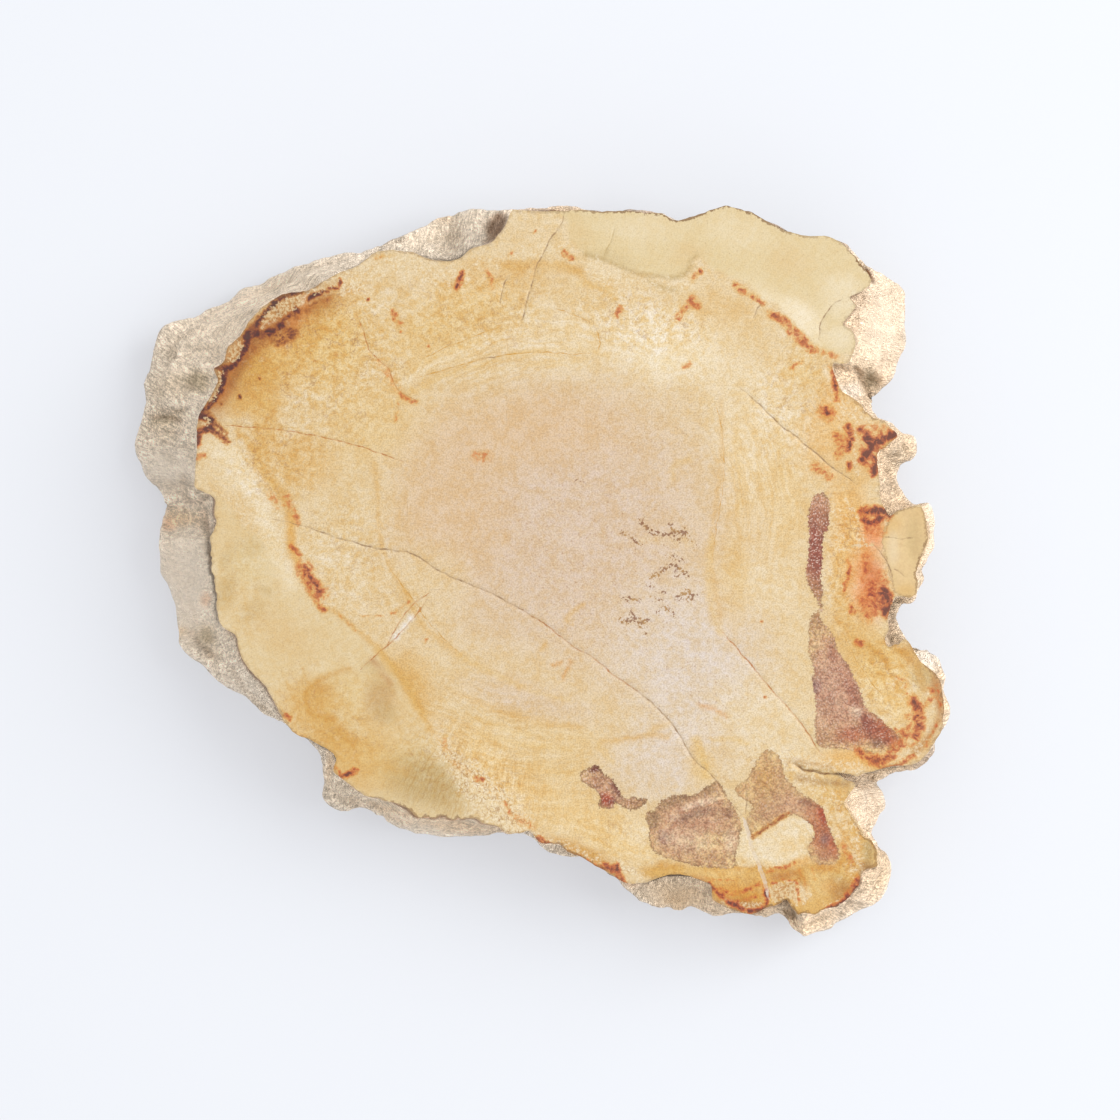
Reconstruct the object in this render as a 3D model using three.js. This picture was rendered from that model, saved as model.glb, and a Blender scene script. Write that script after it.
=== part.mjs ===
// A hand slice of petrified wood, lying on its sawn underside.
// One stone: a flat polished face on top, a rough rind all round and a flat sawn base.
// Millimetres, +Z up. X runs along the longest side and Z is the thickness.
// The origin is at the middle of the base.

import * as THREE from "three";
import { ImprovedNoise } from "three/addons/math/ImprovedNoise.js";

// Driving dimensions.
const LENGTH = 83.2;
const THICKNESS = 12;

// The outline is drawn on a chart with U to the right and V downwards. CHART_LENGTH is the slice's
// length in chart units, and CHART_MIDDLE is the chart point that stands over the origin.
const CHART_LENGTH = 832;
const UNIT = LENGTH / CHART_LENGTH;
const CHART_MIDDLE = { u: 540.2, v: 572.3 };

// The chart shows the slice as an eye above it does. What lies below the polished face is further
// from the eye and looks smaller, so the rind's points are grown back about the point under the eye.
const EYE = { u: 560, v: 560, height: 400 };

// Fineness of the solid.
const COLUMN_STEP = 0.85;
const SLOPE_ROWS = 5;
const WALL_ROWS = 3;

// Relief of the rind: upright flutes that follow the grain, lumps, and shelves where the bark side
// came away in layers. across is measured round the edge and along down the rind.
const FLUTE = { across: 4.6, along: 13, depth: 1.25 };
const LUMP = { across: 2.2, along: 2.4, depth: 0.8 };
const SHELF = { count: 2, strength: 0.09, across: 9, along: 1, depth: 1 };
const BELLY_DRIFT = { across: 6.5, along: 1, depth: 2.6 };

// The relief only bites into the stone: this is added to the noise before its negative part is cut.
const MEAN_BITE = 0.3 * (FLUTE.depth + LUMP.depth);

// How much of the relief each row of the rind takes. The rim takes none.
const ROUGH = { rim: 0, lip: 0.15, brow: 0.45, slope: 1, belly: 0.35, wall: 0.9, foot: 0.4 };

// The brow is where the steep break under the rim ends, at this share of the way out.
const BROW_SHARE = 0.1;
const TUCK_BOW = 1.6;

// Stone left under the deepest hollow.
const SMALLEST_COVER = 1.5;

// Levels at which the noise is read for things that vary only round the edge.
const SHELF_LEVEL = 40.3;
const BELLY_LEVEL = 70.6;

// The edge, clockwise from the left. Each point is the rim of the polished face (U, V), followed
// by the widest point of the rind below it (U, V).
// fall: height of the steep break right under the rim.
// belly: height of the widest point above the base.
// bow: above 1 the rind bulges on its way out, below 1 it is hollow.
// tuck: how far the wall draws in again from the widest point to the base.
const EDGE = [
  {
    name: "left rind",
    fall: 1.4,
    belly: 3.6,
    bow: 1.35,
    tuck: 1.3,
    points: [
      [195, 475, 140, 475], [196, 458, 134, 456], [197, 445, 133, 445], [197, 428, 138, 430],
      [200, 412, 141, 408], [211, 396, 141, 391], [217, 379, 142, 376], [214, 368, 149, 360],
      [224, 360, 153, 348],
    ],
  },
  {
    name: "upper left rind",
    fall: 1.5,
    belly: 4,
    bow: 1.2,
    tuck: 1.2,
    points: [
      [227, 346, 160, 330], [240, 336, 172, 322], [248, 322, 190, 315], [262, 308, 207, 306],
      [276, 298, 227, 300], [288, 293, 241, 286], [306, 291, 258, 278], [321, 283, 282, 270],
      [339, 273, 310, 262], [357, 265, 334, 255], [376, 252, 366, 249], [388, 250, 382, 244],
      [402, 251, 394, 238],
    ],
  },
  {
    name: "broken stone at the top",
    fall: 2.4,
    belly: 5.4,
    bow: 0.8,
    tuck: 1.2,
    points: [
      [416, 253, 406, 235], [430, 259, 417, 227], [445, 261, 434, 216], [459, 259, 450, 212],
      [472, 248, 466, 208], [490, 243, 480, 208], [499, 233, 491, 208], [507, 222, 502, 208],
      [511, 211, 512, 207],
    ],
  },
  {
    name: "sawn-through top edge",
    fall: 2,
    belly: 7,
    bow: 1,
    tuck: 1.6,
    points: [
      [540, 211, 540, 207], [560, 211, 558, 203], [580, 210, 577, 205], [600, 211, 600, 208],
      [630, 211, 630, 208], [650, 213, 650, 210], [663, 214, 663, 212], [675, 220, 676, 218],
      [688, 218, 688, 216], [703, 213, 702, 211], [716, 208, 716, 206], [728, 206, 729, 204],
      [740, 209, 741, 205], [752, 213, 754, 211], [768, 222, 769, 220], [786, 231, 787, 229],
      [808, 236, 809, 234], [824, 236, 827, 234], [838, 241, 841, 238], [850, 251, 856, 249],
      [859, 262, 865, 259], [867, 272, 874, 268],
    ],
  },
  {
    name: "broken corner",
    fall: 1.6,
    belly: 5,
    bow: 1.25,
    tuck: 1.4,
    points: [
      [871, 283, 888, 277], [862, 291, 899, 282], [850, 297, 907, 292], [856, 306, 908, 308],
      [848, 317, 904, 324], [843, 325, 905, 336], [852, 330, 905, 345], [855, 342, 902, 355],
      [853, 352, 900, 367], [849, 363, 896, 380], [840, 364, 887, 391], [833, 364, 877, 397],
      [836, 380, 871, 404],
    ],
  },
  {
    name: "sugary knob",
    fall: 1.5,
    belly: 5.2,
    bow: 1.3,
    tuck: 1,
    points: [
      [843, 392, 872, 411], [853, 398, 877, 416], [863, 407, 882, 419], [873, 418, 887, 422],
      [886, 422, 895, 428], [895, 431, 904, 434], [897, 437, 914, 436], [889, 444, 919, 447],
      [881, 451, 916, 457], [878, 460, 906, 462], [878, 472, 900, 472], [880, 484, 900, 483],
      [880, 496, 905, 490], [884, 507, 911, 497],
    ],
  },
  {
    name: "tan block",
    fall: 1.5,
    belly: 6.5,
    bow: 1.2,
    tuck: 1,
    points: [
      [890, 516, 917, 501], [898, 510, 921, 501], [909, 507, 926, 501], [920, 505, 931, 503],
      [924, 511, 935, 510], [926, 524, 937, 524], [928, 540, 935, 540], [922, 556, 927, 555],
      [917, 570, 920, 568], [918, 584, 919, 585], [915, 595, 918, 599],
    ],
  },
  {
    name: "bay of the right edge",
    fall: 1.8,
    belly: 6,
    bow: 1,
    tuck: 0.8,
    points: [
      [908, 598, 913, 604], [897, 598, 905, 605], [893, 604, 901, 612], [888, 617, 900, 620],
      [889, 629, 904, 631], [885, 639, 909, 638], [889, 647, 912, 643],
    ],
  },
  {
    name: "right lobe",
    fall: 1.4,
    belly: 6.4,
    bow: 1.2,
    tuck: 1.3,
    points: [
      [898, 643, 917, 645], [905, 639, 924, 646], [913, 648, 933, 649], [918, 658, 940, 656],
      [925, 665, 945, 666], [934, 672, 947, 675], [941, 683, 946, 687], [943, 695, 949, 698],
      [944, 712, 951, 711], [942, 728, 945, 727], [935, 742, 937, 742], [925, 756, 926, 757],
      [914, 764, 916, 766], [896, 766, 898, 770], [880, 769, 886, 773], [869, 772, 879, 777],
    ],
  },
  {
    name: "cream chip below the split",
    fall: 1.7,
    belly: 4.8,
    bow: 1.2,
    tuck: 1,
    points: [
      [858, 776, 877, 781], [850, 774, 878, 784], [838, 773, 880, 787], [846, 780, 883, 790],
      [855, 785, 886, 794], [849, 795, 890, 801], [845, 803, 890, 809], [850, 814, 883, 815],
      [857, 825, 877, 826],
    ],
  },
  {
    name: "lower right lobe",
    fall: 1.6,
    belly: 4.6,
    bow: 1.15,
    tuck: 1.2,
    points: [
      [864, 836, 875, 834], [872, 840, 880, 843], [877, 851, 888, 852], [877, 866, 893, 868],
      [868, 870, 892, 880], [862, 877, 886, 892], [857, 889, 877, 903], [847, 899, 864, 913],
      [836, 907, 849, 921], [824, 909, 838, 925], [815, 914, 831, 931], [805, 913, 820, 933],
      [797, 914, 803, 936],
    ],
  },
  {
    name: "ledges of the bottom edge",
    fall: 2.2,
    belly: 5,
    bow: 0.85,
    tuck: 1.1,
    points: [
      [791, 906, 794, 930], [786, 900, 788, 923], [778, 905, 778, 917], [766, 908, 766, 919],
      [752, 914, 750, 920], [737, 911, 734, 918], [722, 905, 717, 918], [712, 898, 703, 912],
      [711, 886, 691, 910], [700, 880, 676, 911], [685, 876, 665, 909], [670, 875, 655, 908],
      [657, 878, 644, 904], [645, 883, 636, 900], [633, 884, 627, 894],
    ],
  },
  {
    name: "bottom edge",
    fall: 1.8,
    belly: 6,
    bow: 1,
    tuck: 1.4,
    points: [
      [622, 881, 616, 884], [607, 872, 603, 875], [590, 862, 586, 862], [579, 856, 575, 859],
      [568, 852, 562, 858], [558, 844, 550, 854], [546, 844, 541, 849], [536, 840, 533, 842],
      [529, 832, 524, 836], [510, 834, 507, 836],
    ],
  },
  {
    name: "lower left lip",
    fall: 1.5,
    belly: 4.6,
    bow: 1.2,
    tuck: 1.3,
    points: [
      [498, 827, 492, 836], [484, 823, 476, 836], [471, 818, 463, 836], [456, 820, 448, 837],
      [442, 818, 434, 836], [430, 818, 420, 833], [419, 818, 407, 830], [409, 810, 396, 826],
      [397, 804, 384, 820], [380, 800, 368, 814], [366, 796, 353, 813], [354, 788, 341, 814],
      [341, 778, 332, 810], [333, 770, 323, 799], [336, 759, 321, 783], [331, 752, 322, 765],
      [319, 745, 318, 750],
    ],
  },
  {
    name: "lower left corner",
    fall: 1.6,
    belly: 5,
    bow: 1,
    tuck: 1.4,
    points: [
      [306, 738, 305, 741], [294, 733, 293, 736], [284, 722, 281, 728], [279, 712, 272, 722],
      [273, 701, 262, 716],
    ],
  },
  {
    name: "lower left rind",
    fall: 1.6,
    belly: 3.8,
    bow: 1.3,
    tuck: 1.3,
    points: [
      [266, 687, 252, 706], [255, 676, 240, 697], [243, 660, 225, 688], [238, 644, 210, 677],
      [234, 634, 199, 665], [223, 628, 189, 656], [218, 616, 179, 642], [216, 600, 177, 624],
      [215, 585, 173, 606], [212, 572, 166, 592], [210, 560, 158, 576], [211, 546, 159, 558],
      [210, 536, 157, 542], [215, 528, 158, 528], [214, 512, 160, 512], [213, 498, 159, 500],
      [203, 492, 152, 488], [195, 487, 146, 482],
    ],
  },
];

// Hollows in the rind: the middle (U, V), the half width and how deep the stone drops there.
const HOLLOWS = [
  { u: 868, v: 384, reach: 11, depth: 2.2 },
  { u: 176, v: 517, reach: 20, depth: 1.3 },
  { u: 207, v: 636, reach: 13, depth: 1.8 },
  { u: 165, v: 428, reach: 18, depth: 0.8 },
  { u: 448, v: 240, reach: 14, depth: 1.1 },
  { u: 676, v: 894, reach: 14, depth: 0.9 },
  { u: 868, v: 808, reach: 12, depth: 1 },
  { u: 893, v: 626, reach: 9, depth: 1 },
  { u: 789, v: 912, reach: 7, depth: 2 },
  { u: 186, v: 345, reach: 16, depth: 0.9 },
];

const STONE = new THREE.MeshStandardMaterial({ color: 0xe2cc9c, roughness: 0.35, metalness: 0 });

const noise = new ImprovedNoise();

// A chart point on the slice's own axes, for something that lies at the given height.
function placed(u, v, height) {
  const grown = (EYE.height + THICKNESS - height) / EYE.height;
  const x = (EYE.u - CHART_MIDDLE.u + (u - EYE.u) * grown) * UNIT;
  const y = (CHART_MIDDLE.v - EYE.v + (EYE.v - v) * grown) * UNIT;
  return new THREE.Vector2(x, y);
}

// One station for each chart point, in order round the slice.
function stationsOf(edge) {
  return edge.flatMap(({ points, fall, belly, bow, tuck }) =>
    points.map(([rimU, rimV, outU, outV]) => ({
      rim: placed(rimU, rimV, THICKNESS),
      out: placed(outU, outV, belly),
      fall,
      belly,
      bow,
      tuck,
    })),
  );
}

// Catmull-Rom value between b and c, at t from 0 to 1.
function between(a, b, c, d, t) {
  const bend = (2 * a - 5 * b + 4 * c - d) * t * t + (3 * b - a - 3 * c + d) * t * t * t;
  return b + 0.5 * ((c - a) * t + bend);
}

// Columns down the rind: one at each station and more between stations that are far apart.
function columnsOf(stations) {
  const count = stations.length;
  const columns = [];
  stations.forEach((b, i) => {
    const a = stations[(i + count - 1) % count];
    const c = stations[(i + 1) % count];
    const d = stations[(i + 2) % count];
    const gap = Math.max(b.rim.distanceTo(c.rim), b.out.distanceTo(c.out));
    const steps = Math.max(1, Math.round(gap / COLUMN_STEP));
    for (let k = 0; k < steps; k += 1) {
      const t = k / steps;
      const curve = (pick) => between(pick(a), pick(b), pick(c), pick(d), t);
      const blend = (pick) => THREE.MathUtils.lerp(pick(b), pick(c), t);
      columns.push({
        rim: new THREE.Vector2(curve((s) => s.rim.x), curve((s) => s.rim.y)),
        out: new THREE.Vector2(curve((s) => s.out.x), curve((s) => s.out.y)),
        fall: blend((s) => s.fall),
        belly: blend((s) => s.belly),
        bow: blend((s) => s.bow),
        tuck: blend((s) => s.tuck),
      });
    }
  });
  return columns;
}

// Directions out of the slice at each column, smoothed over its neighbours, and the distance
// travelled along the edge.
function addDirections(columns) {
  const REACH = 4;
  const count = columns.length;
  let travelled = 0;
  columns.forEach((column, i) => {
    const before = columns[(i + count - REACH) % count].out;
    const after = columns[(i + REACH) % count].out;
    const along = after.clone().sub(before).normalize();
    column.outward = new THREE.Vector2(-along.y, along.x);
    column.travelled = travelled;
    travelled += column.out.distanceTo(columns[(i + 1) % count].out);
  });
  columns.forEach((column) => {
    column.angle = (2 * Math.PI * column.travelled) / travelled;
  });
  return travelled;
}

// Noise that closes on itself round the edge: the ring is laid on a cylinder of the same length.
function roundNoise(column, height, { across, along, depth }, total) {
  const radius = total / (2 * Math.PI * across);
  const x = radius * Math.cos(column.angle);
  const y = radius * Math.sin(column.angle);
  return depth * noise.noise(x, y, height / along);
}

// How far the stone drops in its hollows at a plan point.
function hollowAt(point) {
  return HOLLOWS.reduce((sum, { u, v, reach, depth }) => {
    const middle = placed(u, v, THICKNESS / 2);
    const near = point.distanceTo(middle) / (reach * UNIT);
    return sum + depth * Math.exp(-near * near);
  }, 0);
}

// The rows of one column, from the rim down to the base. share is the way out from the rim to the
// widest point, inset the way back in below it, and rough how much of the relief the row takes.
function rowsOf(column, total) {
  const { fall, bow, tuck } = column;
  const brow = THICKNESS - fall;
  const belly = column.belly + roundNoise(column, BELLY_LEVEL, BELLY_DRIFT, total);
  const phase = roundNoise(column, SHELF_LEVEL, SHELF, total);
  const rows = [
    { share: 0, height: THICKNESS, rough: ROUGH.rim, inset: 0 },
    { share: BROW_SHARE / 2, height: THICKNESS - fall / 2, rough: ROUGH.lip, inset: 0 },
    { share: BROW_SHARE, height: brow, rough: ROUGH.brow, inset: 0 },
  ];
  for (let k = 1; k < SLOPE_ROWS; k += 1) {
    const t = k / SLOPE_ROWS;
    const shelf = SHELF.strength * Math.sin(2 * Math.PI * (SHELF.count * t + phase));
    const shifted = t + 4 * t * (1 - t) * shelf;
    const share = BROW_SHARE + (1 - BROW_SHARE) * shifted;
    rows.push({ share, height: brow + (belly - brow) * t ** bow, rough: ROUGH.slope, inset: 0 });
  }
  rows.push({ share: 1, height: belly, rough: ROUGH.belly, inset: 0 });
  for (let k = 1; k <= WALL_ROWS; k += 1) {
    const t = k / WALL_ROWS;
    const rough = k < WALL_ROWS ? ROUGH.wall : ROUGH.foot;
    rows.push({ share: 1, height: belly * (1 - t), rough, inset: tuck * t ** TUCK_BOW });
  }
  return rows;
}

// The points of one column in space.
function profileOf(column, total) {
  const { rim, out, outward } = column;
  return rowsOf(column, total).map(({ share, height, rough, inset }) => {
    const plan = rim.clone().lerp(out, share);
    const relief = roundNoise(column, height, FLUTE, total) + roundNoise(column, height, LUMP, total);
    plan.addScaledVector(outward, -inset - rough * Math.max(0, MEAN_BITE + relief));
    const open = share > BROW_SHARE && inset === 0;
    const drop = open ? Math.min(hollowAt(plan), Math.max(0, height - SMALLEST_COVER)) : 0;
    return new THREE.Vector3(plan.x, plan.y, height - drop);
  });
}

// The closed skin of the slice: the rind as a grid of columns and rows, and the two flat faces.
function sliceGeometry() {
  const columns = columnsOf(stationsOf(EDGE));
  const total = addDirections(columns);
  const profiles = columns.map((column) => profileOf(column, total));
  const rowCount = profiles[0].length;
  const positions = profiles.flatMap((rows) => rows.flatMap((p) => [p.x, p.y, p.z]));
  const faces = [];
  const at = (column, row) => (column % columns.length) * rowCount + row;
  columns.forEach((_, i) => {
    for (let row = 0; row + 1 < rowCount; row += 1) {
      const corners = [at(i, row), at(i + 1, row), at(i + 1, row + 1), at(i, row + 1)];
      faces.push(corners[0], corners[1], corners[2], corners[0], corners[2], corners[3]);
    }
  });
  const flatFace = (row, upwards) => {
    const loop = profiles.map((rows) => new THREE.Vector2(rows[row].x, rows[row].y));
    THREE.ShapeUtils.triangulateShape(loop, []).forEach(([a, b, c]) => {
      const [first, last] = upwards ? [a, c] : [c, a];
      faces.push(at(first, row), at(b, row), at(last, row));
    });
  };
  flatFace(0, true);
  flatFace(rowCount - 1, false);
  const geometry = new THREE.BufferGeometry();
  geometry.setAttribute("position", new THREE.Float32BufferAttribute(positions, 3));
  geometry.setIndex(faces);
  geometry.computeVertexNormals();
  return geometry;
}

const slice = new THREE.Mesh(sliceGeometry(), STONE);
slice.name = "petrified_wood_slice";

const object = new THREE.Group();
object.add(slice);

export default object;
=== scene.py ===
# %% [markdown]
# A slice of petrified wood is one piece of stone: a flat polished face above, a rough
# rind all round where the trunk broke off, and a flat sawn underside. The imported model
# gives its size and its ragged outline. Here it gets the fine surface and the colours,
# as one closed mesh that stands in the place of that solid.

# %% The frame
import math

import bmesh
import bpy
import numpy as np
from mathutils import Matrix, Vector, kdtree, noise
from mathutils.geometry import delaunay_2d_cdt


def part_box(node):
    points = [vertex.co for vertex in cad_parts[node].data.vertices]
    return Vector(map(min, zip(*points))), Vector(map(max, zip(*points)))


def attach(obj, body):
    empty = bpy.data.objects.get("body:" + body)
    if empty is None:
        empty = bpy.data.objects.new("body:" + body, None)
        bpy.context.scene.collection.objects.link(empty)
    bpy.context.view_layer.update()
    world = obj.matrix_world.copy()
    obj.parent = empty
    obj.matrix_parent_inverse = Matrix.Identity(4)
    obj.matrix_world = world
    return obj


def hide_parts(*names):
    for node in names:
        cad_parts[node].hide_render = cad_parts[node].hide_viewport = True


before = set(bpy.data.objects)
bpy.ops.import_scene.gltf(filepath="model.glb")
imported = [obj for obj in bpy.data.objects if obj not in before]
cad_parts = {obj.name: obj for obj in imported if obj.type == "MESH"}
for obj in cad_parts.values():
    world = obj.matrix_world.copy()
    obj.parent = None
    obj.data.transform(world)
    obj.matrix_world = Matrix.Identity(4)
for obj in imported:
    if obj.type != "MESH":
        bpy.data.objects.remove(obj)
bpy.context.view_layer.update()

NODE = "petrified_wood_slice"
MM = 0.001
slice_low, slice_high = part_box(NODE)
THICKNESS = slice_high.z - slice_low.z
print("slice, mm:", [round(side / MM, 2) for side in slice_high - slice_low])

# %% [markdown]
# The photograph looks straight down at the slice. A chart lies on the polished face,
# with one unit for each of the photograph's 1120 pixels, u to the right and v down.
# Every ring, crack and stain has its place on this chart. The rind lies lower than the
# face, so it shows a little nearer the middle of the view. The chart allows for that.

# %% The chart and the camera
CHART_SIDE = 1120
CHART_UNIT = 0.1 * MM
CHART_MIDDLE = np.array([540.2, 572.3])
EYE_PLACE = np.array([CHART_SIDE / 2, CHART_SIDE / 2])
EYE_HEIGHT = 400 * MM


def on_chart(flat_points):
    """Where x and y places on the polished face lie on the chart."""
    return CHART_MIDDLE + flat_points * (1, -1) / CHART_UNIT


def to_chart(points):
    """Where points of the stone show on the chart, as seen by the camera."""
    below = THICKNESS - points[:, 2:3]
    return EYE_PLACE + (on_chart(points[:, :2]) - EYE_PLACE) * EYE_HEIGHT / (EYE_HEIGHT + below)


def from_chart(places):
    """The x and y, in metres, of places on the polished face."""
    return (np.asarray(places, float) - CHART_MIDDLE) * (1, -1) * CHART_UNIT


camera_data = bpy.data.cameras.new("overhead_camera")
camera_data.sensor_width = 36.0
camera_data.lens = camera_data.sensor_width * EYE_HEIGHT / (CHART_SIDE * CHART_UNIT)
camera = bpy.data.objects.new("overhead_camera", camera_data)
camera.location = (*from_chart([EYE_PLACE])[0], THICKNESS + EYE_HEIGHT)
bpy.context.scene.collection.objects.link(camera)
bpy.context.scene.camera = camera
print("lens, mm:", round(camera_data.lens, 2))

# %% [markdown]
# The studio is a pale floor under an almost even white sky. One large soft lamp stands
# to the right, so the left of the rind is a little greyer than the right and the floor
# has a faint wide shadow on the left. The floor is a light table that glows a little
# itself. Without that glow a dark ring of shadow would lie all round the stone.

# %% Floor and light
FLOOR_REACH = 2.5
FLOOR_COLOUR = (0.246, 0.261, 0.276, 1.0)
FLOOR_GLOW = (0.438, 0.432, 0.452, 1.0)
SKY_COLOUR = (0.985, 0.99, 1.0, 1.0)
SKY_STRENGTH = 1.29
LAMP_SIDE = 0.63
LAMP_PLACE = Vector((0.6, 0.17, 0.49))
LAMP_POWER = 8.15

bpy.ops.mesh.primitive_plane_add(size=2 * FLOOR_REACH, location=(0, 0, 0))
floor = bpy.context.object
floor.name = "floor"
floor_paint = bpy.data.materials.new("floor_paint")
floor_paint.use_nodes = True
floor_shader = floor_paint.node_tree.nodes["Principled BSDF"]
for setting, value in {
    "Base Color": FLOOR_COLOUR, "Roughness": 0.9, "Specular IOR Level": 0.1,
    "Emission Color": FLOOR_GLOW, "Emission Strength": 1.0,
}.items():
    floor_shader.inputs[setting].default_value = value
floor.data.materials.append(floor_paint)

world = bpy.data.worlds.new("studio")
world.use_nodes = True
sky = world.node_tree.nodes["Background"]
sky.inputs["Color"].default_value = SKY_COLOUR
sky.inputs["Strength"].default_value = SKY_STRENGTH
bpy.context.scene.world = world

lamp_data = bpy.data.lights.new("side_softbox", "AREA")
lamp_data.shape = "SQUARE"
lamp_data.size = LAMP_SIDE
lamp_data.energy = LAMP_POWER
lamp = bpy.data.objects.new("side_softbox", lamp_data)
lamp.location = LAMP_PLACE
lamp.rotation_mode = "QUATERNION"
lamp.rotation_quaternion = (-LAMP_PLACE).to_track_quat("-Z", "Y")
bpy.context.scene.collection.objects.link(lamp)
bpy.context.scene.view_settings.view_transform = "Standard"

# %% [markdown]
# The solid was made as rings of points, from the sharp rim of the polished face down
# the rind to the sawn underside. To refine the rind the script has to find these rings
# again. It starts on the rim and steps down: each edge of a ring belongs to one
# triangle above and one below, and the far corner of the lower one is on the next ring.

# %% Find the rings of the rind
TOUCH = 0.002 * MM


def rings_of(solid):
    """The rind's points as an array of columns, rows and x, y, z, the rim first."""
    mesh = bmesh.new()
    mesh.from_mesh(solid.data)
    bmesh.ops.remove_doubles(mesh, verts=mesh.verts, dist=TOUCH)
    mesh.verts.index_update()
    corner = {
        edge: [v for face in edge.link_faces for v in face.verts if v not in edge.verts]
        for edge in mesh.edges
    }
    on_top = {v for v in mesh.verts if v.co.z > slice_high.z - TOUCH}
    rim_edges = [
        edge for edge in mesh.edges
        if set(edge.verts) <= on_top and sum(v in on_top for v in corner[edge]) == 1
    ]
    beside = {}
    for edge in rim_edges:
        a, b = edge.verts
        beside.setdefault(a, []).append(b)
        beside.setdefault(b, []).append(a)
    ring = [rim_edges[0].verts[0], rim_edges[0].verts[1]]
    while len(ring) < len(rim_edges):
        ring.append(next(v for v in beside[ring[-1]] if v is not ring[-2]))
    turn = sum(a.co.x * b.co.y - b.co.x * a.co.y for a, b in zip(ring, ring[1:] + ring[:1]))
    if turn > 0:
        ring.reverse()
    rings = [ring]
    above = on_top
    while True:
        below = []
        for a, b in zip(ring, ring[1:] + ring[:1]):
            edge = mesh.edges.get((a, b))
            below += [v for v in corner[edge] if v not in above and v not in ring]
        below = below[-1:] + below[:-1]
        if len(below) != len(ring):
            break
        above = set(ring)
        ring = below
        rings.append(ring)
        if all(v.co.z < slice_low.z + TOUCH for v in ring):
            break
    grid = np.array([[v.co[:] for v in ring] for ring in rings])
    mesh.free()
    return grid.transpose(1, 0, 2)


rough_rind = rings_of(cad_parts[NODE])
print("rind, columns and rows:", rough_rind.shape[:2])

# %% [markdown]
# A finer rind could come from a subdivision surface, but that would round the sharp rim
# off. Instead smooth curves are run through the rings both ways, with most of the new
# rows on the slope that the camera sees.

# %% Refine the rind
AROUND = 3
DOWN = (2, 3, 5, 5, 5, 5, 4, 3, 3, 2)


def spline(before, start, end, after, share):
    """A point on the smooth curve from start to end."""
    return 0.5 * (
        2 * start
        + (end - before) * share
        + (2 * before - 5 * start + 4 * end - after) * share ** 2
        + (3 * start - before - 3 * end + after) * share ** 3
    )


def refined_round(grid, steps):
    """More columns, on smooth closed curves."""
    before, after, next_after = (np.roll(grid, shift, axis=0) for shift in (1, -1, -2))
    between = [spline(before, grid, after, next_after, k / steps) for k in range(steps)]
    return np.stack(between, axis=1).reshape(-1, *grid.shape[1:])


def refined_down(grid, steps):
    """More rows, on smooth open curves."""
    last = grid.shape[1] - 1
    rows = []
    for row, count in enumerate(steps):
        ends = [min(max(row + k, 0), last) for k in (-1, 0, 1, 2)]
        before, start, end, after = (grid[:, k] for k in ends)
        rows += [spline(before, start, end, after, k / count) for k in range(count)]
    return np.stack(rows + [grid[:, last]], axis=1)


rind = refined_down(refined_round(rough_rind, AROUND), DOWN)
rind[:, 0, 2] = slice_high.z
rind[:, -1, 2] = slice_low.z
rind[..., 2] = np.clip(rind[..., 2], slice_low.z, slice_high.z)
COLUMNS, ROWS = rind.shape[:2]
print("fine rind:", COLUMNS, "columns,", ROWS, "rows")

# %% [markdown]
# Stone is rough at every size, so noise is the chisel here. These helpers give smooth
# noise at any size, a soft step, and places on smooth paths and inside outlines. The
# same helpers later place every stain, so they work on plain arrays of places.

# %% Helpers for noise, paths and outlines
def soft_step(value, low, high):
    """0 up to low, 1 from high, and a smooth rise between."""
    share = np.clip((value - low) / (high - low), 0, 1)
    return share * share * (3 - 2 * share)


def lumps(points, size, seed):
    """Smooth noise, about -1 to 1, with lumps as wide as size."""
    points = np.asarray(points, float)
    if points.shape[1] == 2:
        points = np.column_stack([points, np.zeros(len(points))])
    shifted = points / size + np.array([17.3, 5.1, 11.7]) * seed
    return np.array([noise.noise(point) for point in shifted.tolist()])


def wander(points, size, seed):
    """Two noises side by side, which push places about on the chart."""
    return np.column_stack([lumps(points, size, seed), lumps(points, size, seed + 1)])


def smooth_path(points, step=3.0, closed=False):
    """Points about a step apart on a smooth curve through given ones."""
    points = np.reshape(points, (-1, 2)).astype(float)
    count = len(points)
    path = []
    for i in range(count if closed else count - 1):
        start, end = points[i], points[(i + 1) % count]
        before = points[i - 1] if closed or i > 0 else start
        after = points[(i + 2) % count] if closed or i + 2 < count else end
        steps = max(1, math.ceil(np.hypot(*(end - start)) / step))
        path += [spline(before, start, end, after, k / steps) for k in range(steps)]
    if not closed:
        path.append(points[-1])
    return np.array(path)


def gap_to(path, places, reach):
    """How far each place is from a path, up to reach, and how far along it, 0 to 1."""
    gap = np.full(len(places), float(reach))
    along = np.zeros(len(places))
    low, high = path.min(0) - reach, path.max(0) + reach
    near = np.flatnonzero(np.all((places > low) & (places < high), axis=1))
    close = places[near]
    best, share = gap[near], along[near]
    for i, (start, step) in enumerate(zip(path[:-1], np.diff(path, axis=0))):
        offset = close - start
        t = np.clip(offset @ step / max(step @ step, 1e-9), 0, 1)
        away = np.hypot(*(offset - t[:, None] * step).T)
        nearer = away < best
        best[nearer] = away[nearer]
        share[nearer] = (i + t[nearer]) / (len(path) - 1)
    gap[near], along[near] = best, share
    return gap, along


def inside(outline, places):
    """True where a place lies inside a closed outline."""
    within = np.zeros(len(places), bool)
    u, v = places.T
    for (u0, v0), (u1, v1) in zip(outline, np.roll(outline, -1, axis=0)):
        if v0 != v1:
            crosses = (v0 > v) != (v1 > v)
            within ^= crosses & (u < (u1 - u0) * (v - v0) / (v1 - v0) + u0)
    return within


def depth_in(outline, places, reach):
    """Distance to a smooth closed outline, above 0 inside it and below 0 outside."""
    path = smooth_path(outline, closed=True)
    gap, _ = gap_to(np.vstack([path, path[:1]]), places, reach)
    return np.where(inside(path, places), gap, -gap)


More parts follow.
